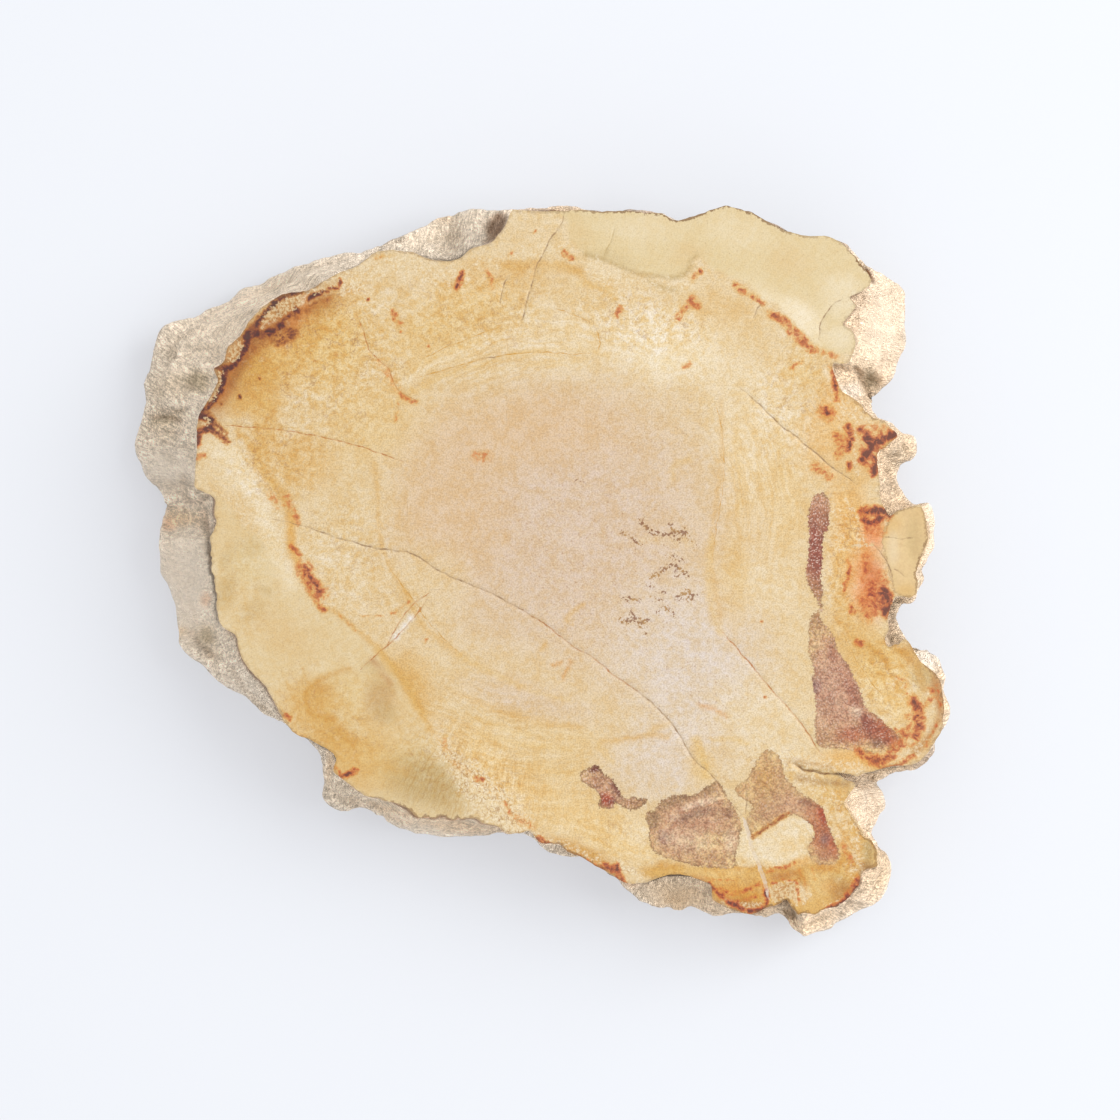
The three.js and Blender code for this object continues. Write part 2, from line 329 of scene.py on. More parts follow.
def oval(places, centre, radii, turn=0.0, soft=0.8):
    """1 in the middle of an oval mark, falling to 0 at its edge."""
    offset = places - np.asarray(centre)
    across, down = math.cos(math.radians(turn)), math.sin(math.radians(turn))
    u = (offset[:, 0] * across + offset[:, 1] * down) / radii[0]
    v = (offset[:, 1] * across - offset[:, 0] * down) / radii[1]
    return 1 - soft_step(np.hypot(u, v), 1 - soft, 1)


def stroke(places, path, reach, soft=1.0):
    """1 along a painted stroke, falling to 0 at its reach to either side."""
    gap, _ = gap_to(smooth_path(path), places, reach)
    return 1 - soft_step(gap, reach * (1 - soft), reach)


# %% [markdown]
# The rind is split wood turned to stone: fibres run down it, broken into lumps, with
# sugary grains where quartz grew and small pits. Each kind of roughness is a noise of
# its own, and an amount for each region says how strong it is there. Points move along
# the surface normal. The rim keeps its height, and chips eat into it sideways.
#
# A region is an oval: u and v of its middle, its two reaches, its strength and, where it
# is turned, the angle in degrees. A stroke is its reach to either side, its strength and
# u and v of each point along it. All are given in chart units.

# %% Roughen the rind
FIBRE_WIDTH, FIBRE_LENGTH, FIBRE_DEPTH, FIBRE_LEAN = 0.6, 5.0, 0.085, 0.25
LUMP_SIZE, LUMP_DEPTH = 1.7, 0.16
GRAIN_SIZE, GRAIN_DEPTH = 0.42, 0.05
PIT_SIZE, PIT_DEPTH = 1.3, 0.3
CALM_RIM, CALM_FOOT = 0.7, 0.5
CHIP_SIZE, CHIP_DEPTH = 1.1, 0.26

SMOOTH_RIND = [
    (676, 896, 42, 18, 0.75), (183, 590, 46, 96, 0.95), (168, 470, 44, 34, 0.75), (884, 330, 36, 76, 1),
    (870, 800, 30, 40, 0.6), (452, 232, 40, 22, 0.4), (930, 540, 20, 60, 0.8), (240, 690, 30, 40, 0.4, 45),
]
SUGARY_RIND = [
    (898, 465, 28, 40, 1), (868, 860, 40, 60, 1, 40), (868, 400, 28, 24, 0.9), (900, 625, 26, 40, 1, 20),
    (930, 665, 30, 30, 0.5), (165, 420, 36, 26, 0.8), (452, 228, 44, 24, 0.7),
]
PITTED_RIND = [
    (862, 850, 50, 60, 1, 30), (872, 800, 24, 30, 0.9), (452, 235, 40, 22, 0.6), (858, 395, 22, 22, 0.9),
    (205, 635, 20, 26, 0.8), (370, 800, 60, 26, 0.5),
]
CREASE_DEPTH = 0.3
CREASES = [
    (4, 0.9, 152, 417, 165, 416, 180, 421), (3, 0.6, 158, 409, 175, 412, 186, 408),
    (3, 0.4, 150, 428, 166, 432, 184, 430), (4, 0.9, 182, 478, 186, 497, 190, 503, 197, 503, 207, 496),
    (3, 0.4, 160, 440, 172, 446, 186, 448), (3, 0.5, 162, 504, 176, 508, 186, 506),
    (3, 0.35, 176, 560, 186, 590, 196, 622), (3, 0.3, 168, 540, 174, 566, 180, 600),
    (4, 0.6, 200, 500, 206, 520, 208, 560), (5, 0.8, 190, 632, 200, 645, 212, 655),
    (3, 0.5, 232, 668, 245, 690, 262, 708), (3, 0.4, 248, 696, 262, 714, 280, 730),
    (3, 0.4, 238, 300, 262, 290, 290, 280), (3, 0.4, 200, 320, 225, 305, 250, 296),
    (3, 0.4, 215, 335, 240, 318, 262, 308), (3, 0.4, 165, 350, 185, 335, 204, 328),
    (3, 0.4, 180, 360, 196, 350, 214, 345), (3, 0.45, 300, 270, 330, 262, 360, 252),
    (3, 0.5, 380, 245, 400, 240, 420, 236), (3, 0.35, 428, 240, 445, 237, 467, 238),
    (3, 0.25, 430, 228, 450, 231, 470, 226), (3, 0.25, 440, 248, 456, 250, 472, 247),
    (4, 0.6, 484, 240, 492, 226, 498, 214), (3, 0.7, 338, 745, 342, 760, 346, 775),
    (3, 0.6, 352, 800, 372, 806, 395, 812, 420, 818), (3, 0.5, 380, 816, 410, 823, 440, 826),
    (3, 0.5, 440, 820, 470, 826, 505, 829), (3, 0.4, 330, 790, 345, 800, 360, 806),
    (3, 0.4, 655, 905, 675, 908, 700, 906), (3, 0.6, 700, 905, 712, 912, 730, 915, 760, 918),
    (5, 1, 787, 900, 790, 908, 792, 916), (3, 0.6, 800, 928, 815, 922, 832, 912),
    (3, 0.7, 840, 915, 852, 900, 868, 885), (3, 0.6, 866, 900, 876, 885, 884, 868),
    (4, 0.9, 862, 850, 870, 858, 874, 870), (3, 0.6, 878, 840, 884, 855),
    (3, 0.5, 870, 795, 876, 808, 872, 822), (3, 0.5, 884, 790, 888, 806, 882, 818),
    (3, 0.5, 858, 290, 864, 300, 858, 312, 856, 325), (3, 0.35, 868, 300, 880, 320, 884, 345, 880, 370),
    (3, 0.4, 890, 290, 896, 315, 896, 345), (5, 1, 857, 372, 866, 385, 872, 396),
    (3, 0.6, 845, 385, 852, 394, 862, 400), (3, 0.6, 882, 450, 892, 456, 900, 452),
    (3, 0.6, 886, 470, 892, 482, 890, 495), (3, 0.5, 904, 445, 908, 455),
    (5, 1, 888, 600, 893, 615, 890, 632, 896, 645), (4, 0.8, 900, 640, 912, 648, 924, 650),
    (3, 0.5, 930, 650, 938, 665, 940, 680), (3, 0.3, 926, 520, 930, 540, 926, 560),
    (3, 0.6, 870, 762, 885, 770, 905, 766),
]
LEDGE_HEIGHT = 0.8
LEDGES = [
    (15, 1, 927, 545, 923, 562, 919, 578), (12, 0.7, 930, 752, 915, 763, 895, 770, 876, 773),
]
ALONG_RIM = [
    (450, 820, 130, 40, 1, 12), (280, 300, 150, 60, 0.9, -30), (750, 915, 70, 20, 0.7),
    (640, 205, 180, 16, 0.8),
]
CHIPPED_RIM = [
    (215, 560, 50, 130, 0.8), (230, 380, 60, 70, 0.7), (300, 700, 90, 120, 0.6, 45),
    (450, 800, 170, 70, 1, 20), (840, 870, 110, 70, 0.9), (890, 600, 70, 190, 0.8), (880, 440, 50, 60, 1),
]


def amount(places, regions, rest=0.0):
    """How much of something there is at each place, from a list of oval regions."""
    total = np.full(len(places), rest)
    for u, v, wide, tall, strength, *turn in regions:
        total = np.maximum(total, strength * oval(places, (u, v), (wide, tall), *turn))
    return total


def strokes(places, paths, wider=1.0, spare=0.0, soft=1.0):
    """The strongest of many painted strokes at each place."""
    total = np.zeros(len(places))
    for reach, strength, *path in paths:
        total = np.maximum(total, strength * stroke(places, path, wider * reach + spare, soft))
    return total


def outward(grid):
    """The surface normal at each point of a grid of columns and rows."""
    along = np.roll(grid, -1, axis=0) - np.roll(grid, 1, axis=0)
    down = np.gradient(grid, axis=1)
    normal = np.cross(along, down)
    return normal / np.maximum(np.linalg.norm(normal, axis=2, keepdims=True), 1e-12)


steps_round = np.linalg.norm(np.roll(rind[:, 0], -1, axis=0) - rind[:, 0], axis=1)
girth = steps_round.sum() / MM
bearing = np.cumsum(steps_round) / MM / girth * 2 * np.pi
steps_down = np.linalg.norm(np.diff(rind, axis=1), axis=2)
fallen = np.concatenate([np.zeros((COLUMNS, 1)), np.cumsum(steps_down, axis=1)], axis=1) / MM
left_over = fallen[:, -1:] - fallen
on_circle = girth / (2 * np.pi) * np.array([np.cos(bearing), np.sin(bearing)])
run = np.stack([*np.broadcast_to(on_circle[..., None], (2, *fallen.shape)), fallen], axis=2)

flat_rind = rind.reshape(-1, 3)
flat_run = run.reshape(-1, 3)
rind_places = to_chart(flat_rind)
smoothness = amount(rind_places, SMOOTH_RIND)
sugar = amount(rind_places, SUGARY_RIND, 0.15)
pitting = amount(rind_places, PITTED_RIND, 0.12)
creases = strokes(rind_places + 2.0 * wander(rind_places, 9, 61), CREASES)
ledges = strokes(rind_places, LEDGES)
fibre_stretch = (1 / FIBRE_WIDTH, 1 / FIBRE_WIDTH, 1 / FIBRE_LENGTH)
leaning = flat_run + FIBRE_LEAN * flat_run[:, 2:] * (1, 1, 0)
fibres = lumps(leaning * fibre_stretch, 1, 1) + 0.5 * lumps(leaning * fibre_stretch, 0.5, 2)
bumps = lumps(flat_rind / MM, LUMP_SIZE, 3)
grains = lumps(flat_rind / MM, GRAIN_SIZE, 4)
pits = soft_step(lumps(flat_rind / MM, PIT_SIZE, 5), 0.32, 0.62)
relief = (
    FIBRE_DEPTH * fibres * (1 - 0.6 * smoothness)
    + LUMP_DEPTH * bumps * (1 - 0.6 * smoothness)
    + GRAIN_DEPTH * grains * (0.4 + 1.4 * sugar) * (1 - 0.6 * smoothness)
    - PIT_DEPTH * pits * pitting
    - CREASE_DEPTH * creases
    + LEDGE_HEIGHT * ledges
)
calm = soft_step(fallen, 0.0, CALM_RIM) * soft_step(left_over, 0.0, CALM_FOOT)
relief = relief.reshape(COLUMNS, ROWS) * calm
rind = rind + outward(rind) * relief[..., None] * MM

rim_places = to_chart(rind[:, 0])
rim_run = run[:, 0]
fibre_lay = amount(rind_places, ALONG_RIM)
chipping = soft_step(lumps(rim_run, CHIP_SIZE, 6) + 0.4 * lumps(rim_run, 0.4, 7), -0.1, 0.75)
chipping = chipping * amount(rim_places, CHIPPED_RIM, 0.25) * CHIP_DEPTH
serration = 0.07 * lumps(rim_run, 0.5, 8) + 0.06 * lumps(rim_run, 1.3, 9)
inward = np.roll(rind[:, 0], -1, axis=0) - np.roll(rind[:, 0], 1, axis=0)
inward = np.column_stack([inward[:, 1], -inward[:, 0], np.zeros(COLUMNS)])
inward = inward / np.linalg.norm(inward, axis=1, keepdims=True)
rim_fade = 1 - soft_step(fallen, 0.0, 0.45)
rind = rind + inward[:, None] * ((chipping + serration)[:, None] * rim_fade)[..., None] * MM

for axis in range(3):
    rind[..., axis] = np.clip(rind[..., axis], slice_low[axis], slice_high[axis])
hollowness = -relief / (LUMP_DEPTH + FIBRE_DEPTH)
print("girth, mm:", round(girth, 1), " relief, mm:", relief.min().round(2), relief.max().round(2))

# %% [markdown]
# Cracks cross the polished face as hairlines. They are real grooves here: three rows
# of points run along each one, the middle row a little lower. Each crack's width runs
# out to nothing at its ends. One open slit and one small hole at the right go deeper.
# Each row gives half the width in chart units, the depth in mm, what fills the crack,
# and its path. Growth lines are drawn in the same way, but have no depth.

# %% The cracks
HAIRLINE, VEIN = 0.6, 2.0
CRACKS = {
    "west hairline": (HAIRLINE, 0.03, "burnt", [(223, 425), (262, 428), (300, 433), (352, 444),
     (404, 462)]),
    "long crack": (0.75, 0.06, "seam brown", [(270, 519), (291, 523), (316, 530), (340, 539), (380, 549),
     (413, 554), (443, 573), (478, 588), (504, 600), (543, 623), (577, 649), (593, 657), (614, 675),
     (649, 700), (673, 726), (694, 759), (712, 776), (727, 798), (742, 815)]),
    "lilac vein": (VEIN, 0.02, "lilac", [(742, 815), (748, 830), (753, 850), (761, 870), (766, 885),
     (770, 900)]),
    "vein branch": (HAIRLINE, 0.04, "seam brown", [(747, 788), (747, 800), (745, 815)]),
    "east crack": (0.7, 0.06, "seam brown", [(740, 388), (758, 403), (779, 424), (800, 440), (829, 465),
     (845, 476), (857, 485)]),
    "amber crack": (0.8, 0.05, "burnt", [(722, 632), (735, 646), (755, 670), (779, 698), (803, 726),
     (815, 745), (822, 755)]),
    "north crack": (0.75, 0.05, "seam brown", [(563, 212), (562, 222), (558, 229), (549, 240), (541, 258),
     (536, 268), (532, 285), (527, 300), (523, 318), (521, 327)]),
    "short north crack": (HAIRLINE, 0.04, "seam brown", [(508, 275), (503, 287), (500, 303)]),
    "pale vein, west side": (HAIRLINE, 0.03, "burnt", [(431, 592), (414, 604), (403, 617), (394, 632),
     (387, 645)]),
    "pale vein, east side": (HAIRLINE, 0.03, "burnt", [(428, 598), (420, 610), (410, 622), (398, 636),
     (387, 646), (374, 657), (360, 670)]),
    "north-west vein": (HAIRLINE, 0.03, "burnt", [(356, 314), (362, 327), (369, 349), (379, 360),
     (388, 369), (392, 380), (400, 392), (417, 401)]),
    "khaki hairline": (HAIRLINE, 0.03, "olive", [(615, 228), (611, 240), (606, 249), (603, 256)]),
    "corner hairline": (HAIRLINE, 0.04, "seam brown", [(842, 299), (834, 304), (828, 311), (821, 322),
     (819, 340)]),
    "boundary tick": (HAIRLINE, 0.04, "seam brown", [(762, 303), (757, 309), (753, 318)]),
    "block hairline": (HAIRLINE, 0.03, "seam brown", [(884, 537), (899, 539), (913, 538)]),
    "stain edge": (HAIRLINE, 0.03, "seam brown", [(871, 542), (879, 551), (886, 561), (891, 573),
     (893, 588)]),
    "block hairline, low": (HAIRLINE, 0.03, "seam brown", [(893, 569), (900, 572), (905, 577)]),
    "ring line": (HAIRLINE, 0.02, "seam brown", [(480, 359), (488, 358), (496, 357)]),
    "growth line, north": (0.5, 0.0, "ochre", [(414, 379), (440, 371), (465, 364), (490, 358), (515, 354),
     (540, 352), (570, 354), (594, 353)]),
    "growth line, end": (0.5, 0.0, "ochre", [(598, 350), (600, 342), (597, 332)]),
    "growth line, upper": (0.5, 0.0, "ochre", [(421, 360), (440, 350), (460, 342), (480, 334), (500, 327)]),
    "growth line, short": (0.5, 0.0, "ochre", [(556, 308), (572, 314), (590, 322)]),
    "growth line, west": (0.5, 0.0, "ochre", [(386, 562), (400, 583), (416, 604), (428, 622), (445, 640),
     (462, 655)]),
    "growth line, east": (0.5, 0.0, "ochre", [(716, 402), (722, 430), (724, 460), (722, 495), (716, 530),
     (712, 560)]),
    "growth line, lobe": (0.5, 0.0, "ochre", [(844, 636), (852, 652), (866, 676), (882, 696)]),
    "south rust line": (HAIRLINE, 0.04, "burnt", [(778, 889), (790, 884), (799, 878), (800, 886)]),
    "open slit": (1.2, 0.35, "umber", [(792, 763), (798, 766), (805, 770), (813, 771), (820, 773),
     (832, 774), (846, 775)]),
}
HOLE = ((871, 777), 2.2, 0.9)
CRACK_STEP = 2.6
GROOVE_EDGE = 1.1


def tapered(half, along):
    """A crack's half width along it, running out at both ends."""
    return half * np.clip(np.minimum(along, 1 - along) / 0.12, 0.25, 1)


crack_paths = {}
for crack, (_, _, _, points) in CRACKS.items():
    path = smooth_path(points, CRACK_STEP)
    shiver = wander(path, 9, 21) + 0.5 * wander(path, 3.5, 23)
    shiver[[0, -1]] = 0
    crack_paths[crack] = path + 1.1 * shiver
print(len(crack_paths), "cracks,", sum(len(path) for path in crack_paths.values()), "points along them")

# %% [markdown]
# The polished face is flat, but it carries all the colour, and here colour is stored
# at the mesh's points. So the face is filled with an even net of small triangles, which
# also take in the rim, the cracks and the slit. Blender's Delaunay helper makes the net
# from the points, and keeps the rim and the cracks as edges.

# %% The net of the polished face
FACE_NET = 0.335 * MM
UNDER_NET = 1.0 * MM
JITTER = 0.22
CLEAR_OF_RIM, CLEAR_OF_CRACK, CLEAR_OF_FOOT = 0.62 * FACE_NET, 0.5 * FACE_NET, 0.5 * UNDER_NET
RIM_MARGIN, ROW_MARGIN = 1.5, 0.6
rng = np.random.default_rng(3806)


def net_points(outline, spacing, kept_clear):
    """Points of a slightly uneven honeycomb inside an outline, off the points kept clear."""
    low, high = outline.min(0), outline.max(0)
    across = np.arange(low[0], high[0], spacing)
    down = np.arange(low[1], high[1], spacing * math.sqrt(0.75))
    x, y = np.meshgrid(across, down)
    x[1::2] += spacing / 2
    points = np.column_stack([x.ravel(), y.ravel()])
    points += rng.uniform(-JITTER, JITTER, points.shape) * spacing
    points = points[inside(outline, points)]
    tree = kdtree.KDTree(len(kept_clear))
    for i, (px, py, _) in enumerate(kept_clear):
        tree.insert((px, py, 0), i)
    tree.balance()
    nearest = [tree.find((px, py, 0)) for px, py in points.tolist()]
    free = [gap > kept_clear[i][2] for _, i, gap in nearest]
    return points[free]


def triangles_in(outline_count, points, edges):
    """The net's triangles, as numbers of points, with none outside the outline."""
    vectors = [Vector(point) for point in points.tolist()]
    _, _, faces, origin, _, _ = delaunay_2d_cdt(vectors, edges, [], 0, 1e-9)
    number = [min(source) for source in origin]
    faces = np.array([[number[v] for v in face] for face in faces])
    all_on_rim = np.all(faces < outline_count, axis=1)
    middles = points[faces].mean(axis=1)
    kept = ~all_on_rim | inside(points[:outline_count], middles)
    return faces[kept]


rim = rind[:, 0, :2]
face_points = [rim]
face_heights = [np.full(COLUMNS, slice_high.z)]
rim_edges = [(i, (i + 1) % COLUMNS) for i in range(COLUMNS)]
face_edges = list(rim_edges)
kept_clear = [(x, y, CLEAR_OF_RIM) for x, y in rim.tolist()]
taken = COLUMNS
for crack, path in crack_paths.items():
    half, depth, _, _ = CRACKS[crack]
    along = np.linspace(0, 1, len(path))
    side = np.gradient(path, axis=0)
    side = np.column_stack([side[:, 1], -side[:, 0]]) / np.hypot(*side.T)[:, None]
    lip = (tapered(half, along) + GROOVE_EDGE)[:, None] * side
    for row, drop in ((path, depth), (path + lip, 0), (path - lip, 0)):
        flat = from_chart(row)
        ok = inside(rim, flat)
        gap, _ = gap_to(np.vstack([rim, rim[:1]]) / CHART_UNIT, flat / CHART_UNIT, 2 * RIM_MARGIN)
        ok &= gap > RIM_MARGIN
        for other in face_points[1:]:
            spread = np.hypot(*(other[None] - flat[:, None]).transpose(2, 0, 1)).min(axis=1)
            ok &= spread > ROW_MARGIN * CHART_UNIT
        flat, fade = flat[ok], tapered(1, along[ok])
        if len(flat) == 0:
            continue
        face_points.append(flat)
        face_heights.append(slice_high.z - drop * fade * MM)
        if drop:
            face_edges += [
                (taken + i, taken + i + 1) for i in range(len(flat) - 1)
                if np.hypot(*(flat[i + 1] - flat[i])) < 1.6 * CRACK_STEP * CHART_UNIT
            ]
        kept_clear += [(x, y, CLEAR_OF_CRACK) for x, y in flat.tolist()]
        taken += len(flat)
lattice = net_points(rim, FACE_NET, kept_clear)
face_points.append(lattice)
face_heights.append(np.full(len(lattice), slice_high.z))
face_xy = np.vstack(face_points)
face_z = np.concatenate(face_heights)
face_triangles = triangles_in(COLUMNS, face_xy, face_edges)
print("face:", len(face_xy), "points,", len(face_triangles), "triangles")

# %% The net of the underside
foot = rind[:, -1, :2]
under_lattice = net_points(foot, UNDER_NET, [(x, y, CLEAR_OF_FOOT) for x, y in foot.tolist()])
under_xy = np.vstack([foot, under_lattice])
under_triangles = triangles_in(COLUMNS, under_xy, rim_edges)
print("underside:", len(under_xy), "points,", len(under_triangles), "triangles")

# %% [markdown]
# Colour names for the stone, as they look in soft daylight. The light adds a veil to
# every surface and brightens it, so each colour is turned into the paint that shows it.

# %% The palette
LIGHT_GAIN = 1.91
LIGHT_VEIL = 0.03


def paint(red, green, blue):
    """The surface colour, in linear light, that shows as this screen colour."""
    seen = np.array([red, green, blue]) / 255
    linear = np.where(seen <= 0.04045, seen / 12.92, ((seen + 0.055) / 1.055) ** 2.4)
    return np.clip((linear - LIGHT_VEIL) / LIGHT_GAIN, 0.004, 0.95)


TONES = {
    "cream": paint(231, 205, 160), "heart": paint(221, 196, 170), "heart gold": paint(225, 193, 154),
    "lilac": paint(227, 210, 191), "pale": paint(239, 219, 182), "glow": paint(246, 230, 198),
    "gold": paint(230, 195, 130), "deep gold": paint(222, 176, 98), "amber": paint(232, 182, 104),
    "deep amber": paint(216, 152, 68), "burnt": paint(188, 116, 44), "umber": paint(140, 92, 44),
    "ochre": paint(208, 152, 60), "dark ochre": paint(178, 116, 40), "khaki": paint(230, 208, 162),
    "light khaki": paint(239, 222, 187), "olive": paint(196, 168, 114), "tan": paint(226, 192, 136),
    "orange": paint(224, 146, 84), "salmon": paint(236, 162, 114), "yellow cream": paint(238, 205, 144),
    "seam brown": paint(158, 124, 90), "grey rind": paint(214, 204, 189), "warm rind": paint(225, 211, 191),
    "peach": paint(250, 231, 207), "shell": paint(238, 214, 184), "moss": paint(172, 158, 134),
    "slate": paint(192, 178, 158), "earth": paint(200, 172, 134), "bark": paint(118, 86, 62),
    # The darkest of the tones for the painted shade under the rim.
    "shade under rim": paint(92, 80, 68), "pearl": paint(216, 204, 186), "bone": paint(240, 232, 220),
    "rose": paint(224, 184, 152), "plum": paint(164, 98, 80), "dark plum": paint(118, 58, 44),
    "purple tan": paint(200, 152, 122), "plum beige": paint(206, 164, 136), "brick": paint(176, 78, 50),
    "rosy tan": paint(206, 162, 126), "wood brown": paint(166, 118, 84), "wood tan": paint(208, 168, 120),
    "mauve": paint(154, 116, 108), "dirty mauve": paint(132, 104, 88), "block tan": paint(232, 201, 149),
}

# %% [markdown]
# The face was painted by minerals in the water that turned the wood to stone: iron made
# the golds and rusts, clean silica the creams. The broad colours have soft edges, so
# they are laid one over the other as ovals, strokes and fields, like washes of
# watercolour. Places are first pushed about by noise, so that no edge is a clean curve.
# A cloud is a region with a tone before its strength.

# %% Broad washes on the face
HEART_PLACE, HEART_RADII = np.array([551.0, 520.0]), np.array([177.0, 170.0])

CLOUDS = [
    (575, 530, 240, 220, "heart", 0.95), (455, 500, 90, 130, "heart gold", 0.75),
    (540, 430, 130, 60, "heart gold", 0.75), (690, 660, 130, 110, "lilac", 0.95, 50),
    (660, 760, 90, 60, "lilac", 0.8), (760, 715, 70, 60, "pale", 0.6, 30),
    (420, 590, 70, 70, "cream", 0.8, 45), (520, 680, 110, 50, "cream", 0.5, 20),
    (760, 430, 70, 130, "pale", 0.7, -15), (665, 345, 90, 60, "glow", 0.8, 10),
    (560, 340, 80, 50, "pale", 0.6), (455, 315, 100, 50, "gold", 0.62, -10),
    (500, 283, 90, 26, "deep gold", 0.32), (395, 300, 60, 40, "cream", 0.45),
    (330, 345, 80, 66, "gold", 0.9, -40), (268, 362, 62, 54, "deep gold", 0.8, -45),
    (250, 372, 48, 42, "ochre", 0.6, -50), (326, 306, 44, 18, "ochre", 0.6, -25),
    (310, 332, 44, 28, "deep gold", 0.7, -35), (308, 318, 14, 10, "amber", 0.7, -30),
    (300, 405, 50, 26, "cream", 0.5), (250, 405, 44, 22, "deep gold", 0.75, -10),
    (300, 465, 60, 40, "deep gold", 0.55, 10), (370, 420, 80, 60, "gold", 0.5),
    (420, 350, 60, 40, "gold", 0.35), (265, 430, 24, 60, "deep gold", 0.7, 10),
    (350, 510, 60, 40, "cream", 0.6), (332, 565, 50, 60, "pale", 0.35, -20),
    (385, 610, 50, 36, "cream", 0.6, 30), (240, 470, 36, 34, "pale", 0.8), (230, 525, 30, 50, "tan", 0.7),
    (252, 560, 40, 40, "khaki", 0.8), (250, 615, 46, 40, "tan", 0.55, 30),
    (228, 590, 14, 34, "deep gold", 0.5, 20), (300, 645, 60, 46, "tan", 0.6, 30),
    (340, 700, 60, 50, "gold", 0.85, 30), (318, 692, 30, 34, "ochre", 0.5),
    (350, 750, 70, 50, "deep gold", 0.9, 20), (405, 700, 46, 60, "deep gold", 0.6, -20),
    (420, 780, 70, 50, "olive", 0.8, 20), (400, 680, 40, 50, "deep gold", 0.4, 40),
    (445, 660, 50, 36, "cream", 0.6, 40), (560, 750, 120, 50, "gold", 0.25, 15),
    (530, 700, 100, 30, "heart", 0.55, 15), (540, 800, 80, 40, "yellow cream", 0.5, 20),
    (605, 830, 70, 36, "yellow cream", 0.65, 20), (580, 852, 50, 14, "ochre", 0.85, 22),
    (640, 845, 40, 30, "yellow cream", 0.4), (640, 832, 26, 18, "pale", 0.6),
    (480, 760, 60, 40, "yellow cream", 0.5, 40), (700, 765, 34, 26, "gold", 0.7, 50),
    (740, 520, 24, 150, "gold", 0.35), (785, 500, 36, 90, "gold", 0.4), (765, 585, 50, 50, "pale", 0.5),
    (730, 590, 26, 70, "gold", 0.45), (845, 400, 40, 50, "amber", 0.55, -20),
    (825, 440, 40, 50, "amber", 0.5), (852, 530, 32, 110, "amber", 0.8),
    (865, 688, 12, 22, "deep gold", 0.4, -30), (852, 474, 18, 34, "tan", 0.7),
    (866, 580, 26, 56, "salmon", 0.95), (872, 532, 20, 20, "salmon", 0.9),
    (850, 640, 34, 60, "deep gold", 0.7, -20), (885, 665, 44, 60, "gold", 0.95, -30),
    (896, 700, 30, 44, "yellow cream", 0.6, -20), (922, 662, 12, 34, "ochre", 0.6, -30),
    (924, 676, 16, 16, "olive", 0.6), (905, 652, 20, 9, "ochre", 0.6, 35),
    (936, 690, 8, 34, "dark ochre", 0.7, -5), (922, 745, 26, 12, "ochre", 0.5, -45),
    (850, 580, 24, 60, "gold", 0.5), (850, 762, 60, 18, "amber", 0.8), (800, 760, 40, 16, "pale", 0.5, 10),
    (830, 790, 50, 30, "gold", 0.8, 35), (862, 840, 28, 64, "deep gold", 0.9, -20),
    (725, 310, 50, 26, "deep gold", 0.28, 10), (700, 330, 60, 30, "gold", 0.2),
    (765, 345, 50, 30, "cream", 0.6, 30), (800, 370, 36, 30, "gold", 0.6),
]
KHAKI_CAP = [
    (505, 200), (620, 195), (740, 190), (860, 220), (885, 300), (872, 352), (853, 351), (840, 353),
    (830, 351), (815, 343), (800, 330), (790, 318), (775, 302), (762, 297), (752, 287), (740, 280),
    (725, 275), (712, 268), (698, 256), (688, 269), (680, 277), (665, 276), (640, 272), (605, 262),
    (583, 252), (570, 238), (560, 215),
]
KHAKI_SHOULDER = [
    (180, 500), (215, 495), (240, 520), (268, 548), (282, 562), (302, 590), (317, 606), (330, 611),
    (349, 625), (380, 649), (397, 676), (425, 720), (442, 748), (462, 774), (485, 792), (508, 815),
    (470, 850), (330, 800), (200, 680), (180, 580),
]
SHOULDER_EDGE = [
    (238, 432), (250, 445), (258, 465), (270, 484), (281, 500), (290, 518), (290, 548), (302, 572),
    (317, 605), (330, 609), (349, 624), (380, 648), (397, 676), (425, 720), (440, 745), (460, 770),
    (485, 785), (510, 808), (535, 828),
]

face_places = on_chart(face_xy)
drift = 7.0 * wander(face_places, 45, 31) + 3.0 * wander(face_places, 14, 33)
shiver = 1.2 * wander(face_places, 5, 35)
drifted = face_places + drift + shiver
shivered = face_places + 0.3 * drift + shiver


class Coat:
    """Colours for a set of points, laid on one wash after another."""

    def __init__(self, count, tone):
        self.colour = np.tile(TONES[tone], (count, 1))

    def lay(self, mask, tone, strength=1.0):
        share = np.clip(mask * strength, 0, 1)[:, None]
        self.colour += (TONES[tone] - self.colour) * share

    def lay_clouds(self, places, clouds, within=1.0):
        for u, v, wide, tall, tone, strength, *turn in clouds:
            self.lay(oval(places, (u, v), (wide, tall), *turn) * within, tone, strength)

    def lay_strokes(self, places, paths):
        for tone, reach, strength, *path in paths:
            self.lay(stroke(places, path, reach), tone, strength)


wash = Coat(len(face_places), "cream")
wash.lay_clouds(drifted, CLOUDS)
print(len(CLOUDS), "clouds of colour laid on the face")

# %% [markdown]
# Two large sapwood zones are khaki, one along the top right and one down the left. Each
# ends at a line that the mineral water reached, with a sharper edge than a cloud. Gold
# rings follow the old growth of the trunk. A streak is a stroke with a tone before it.

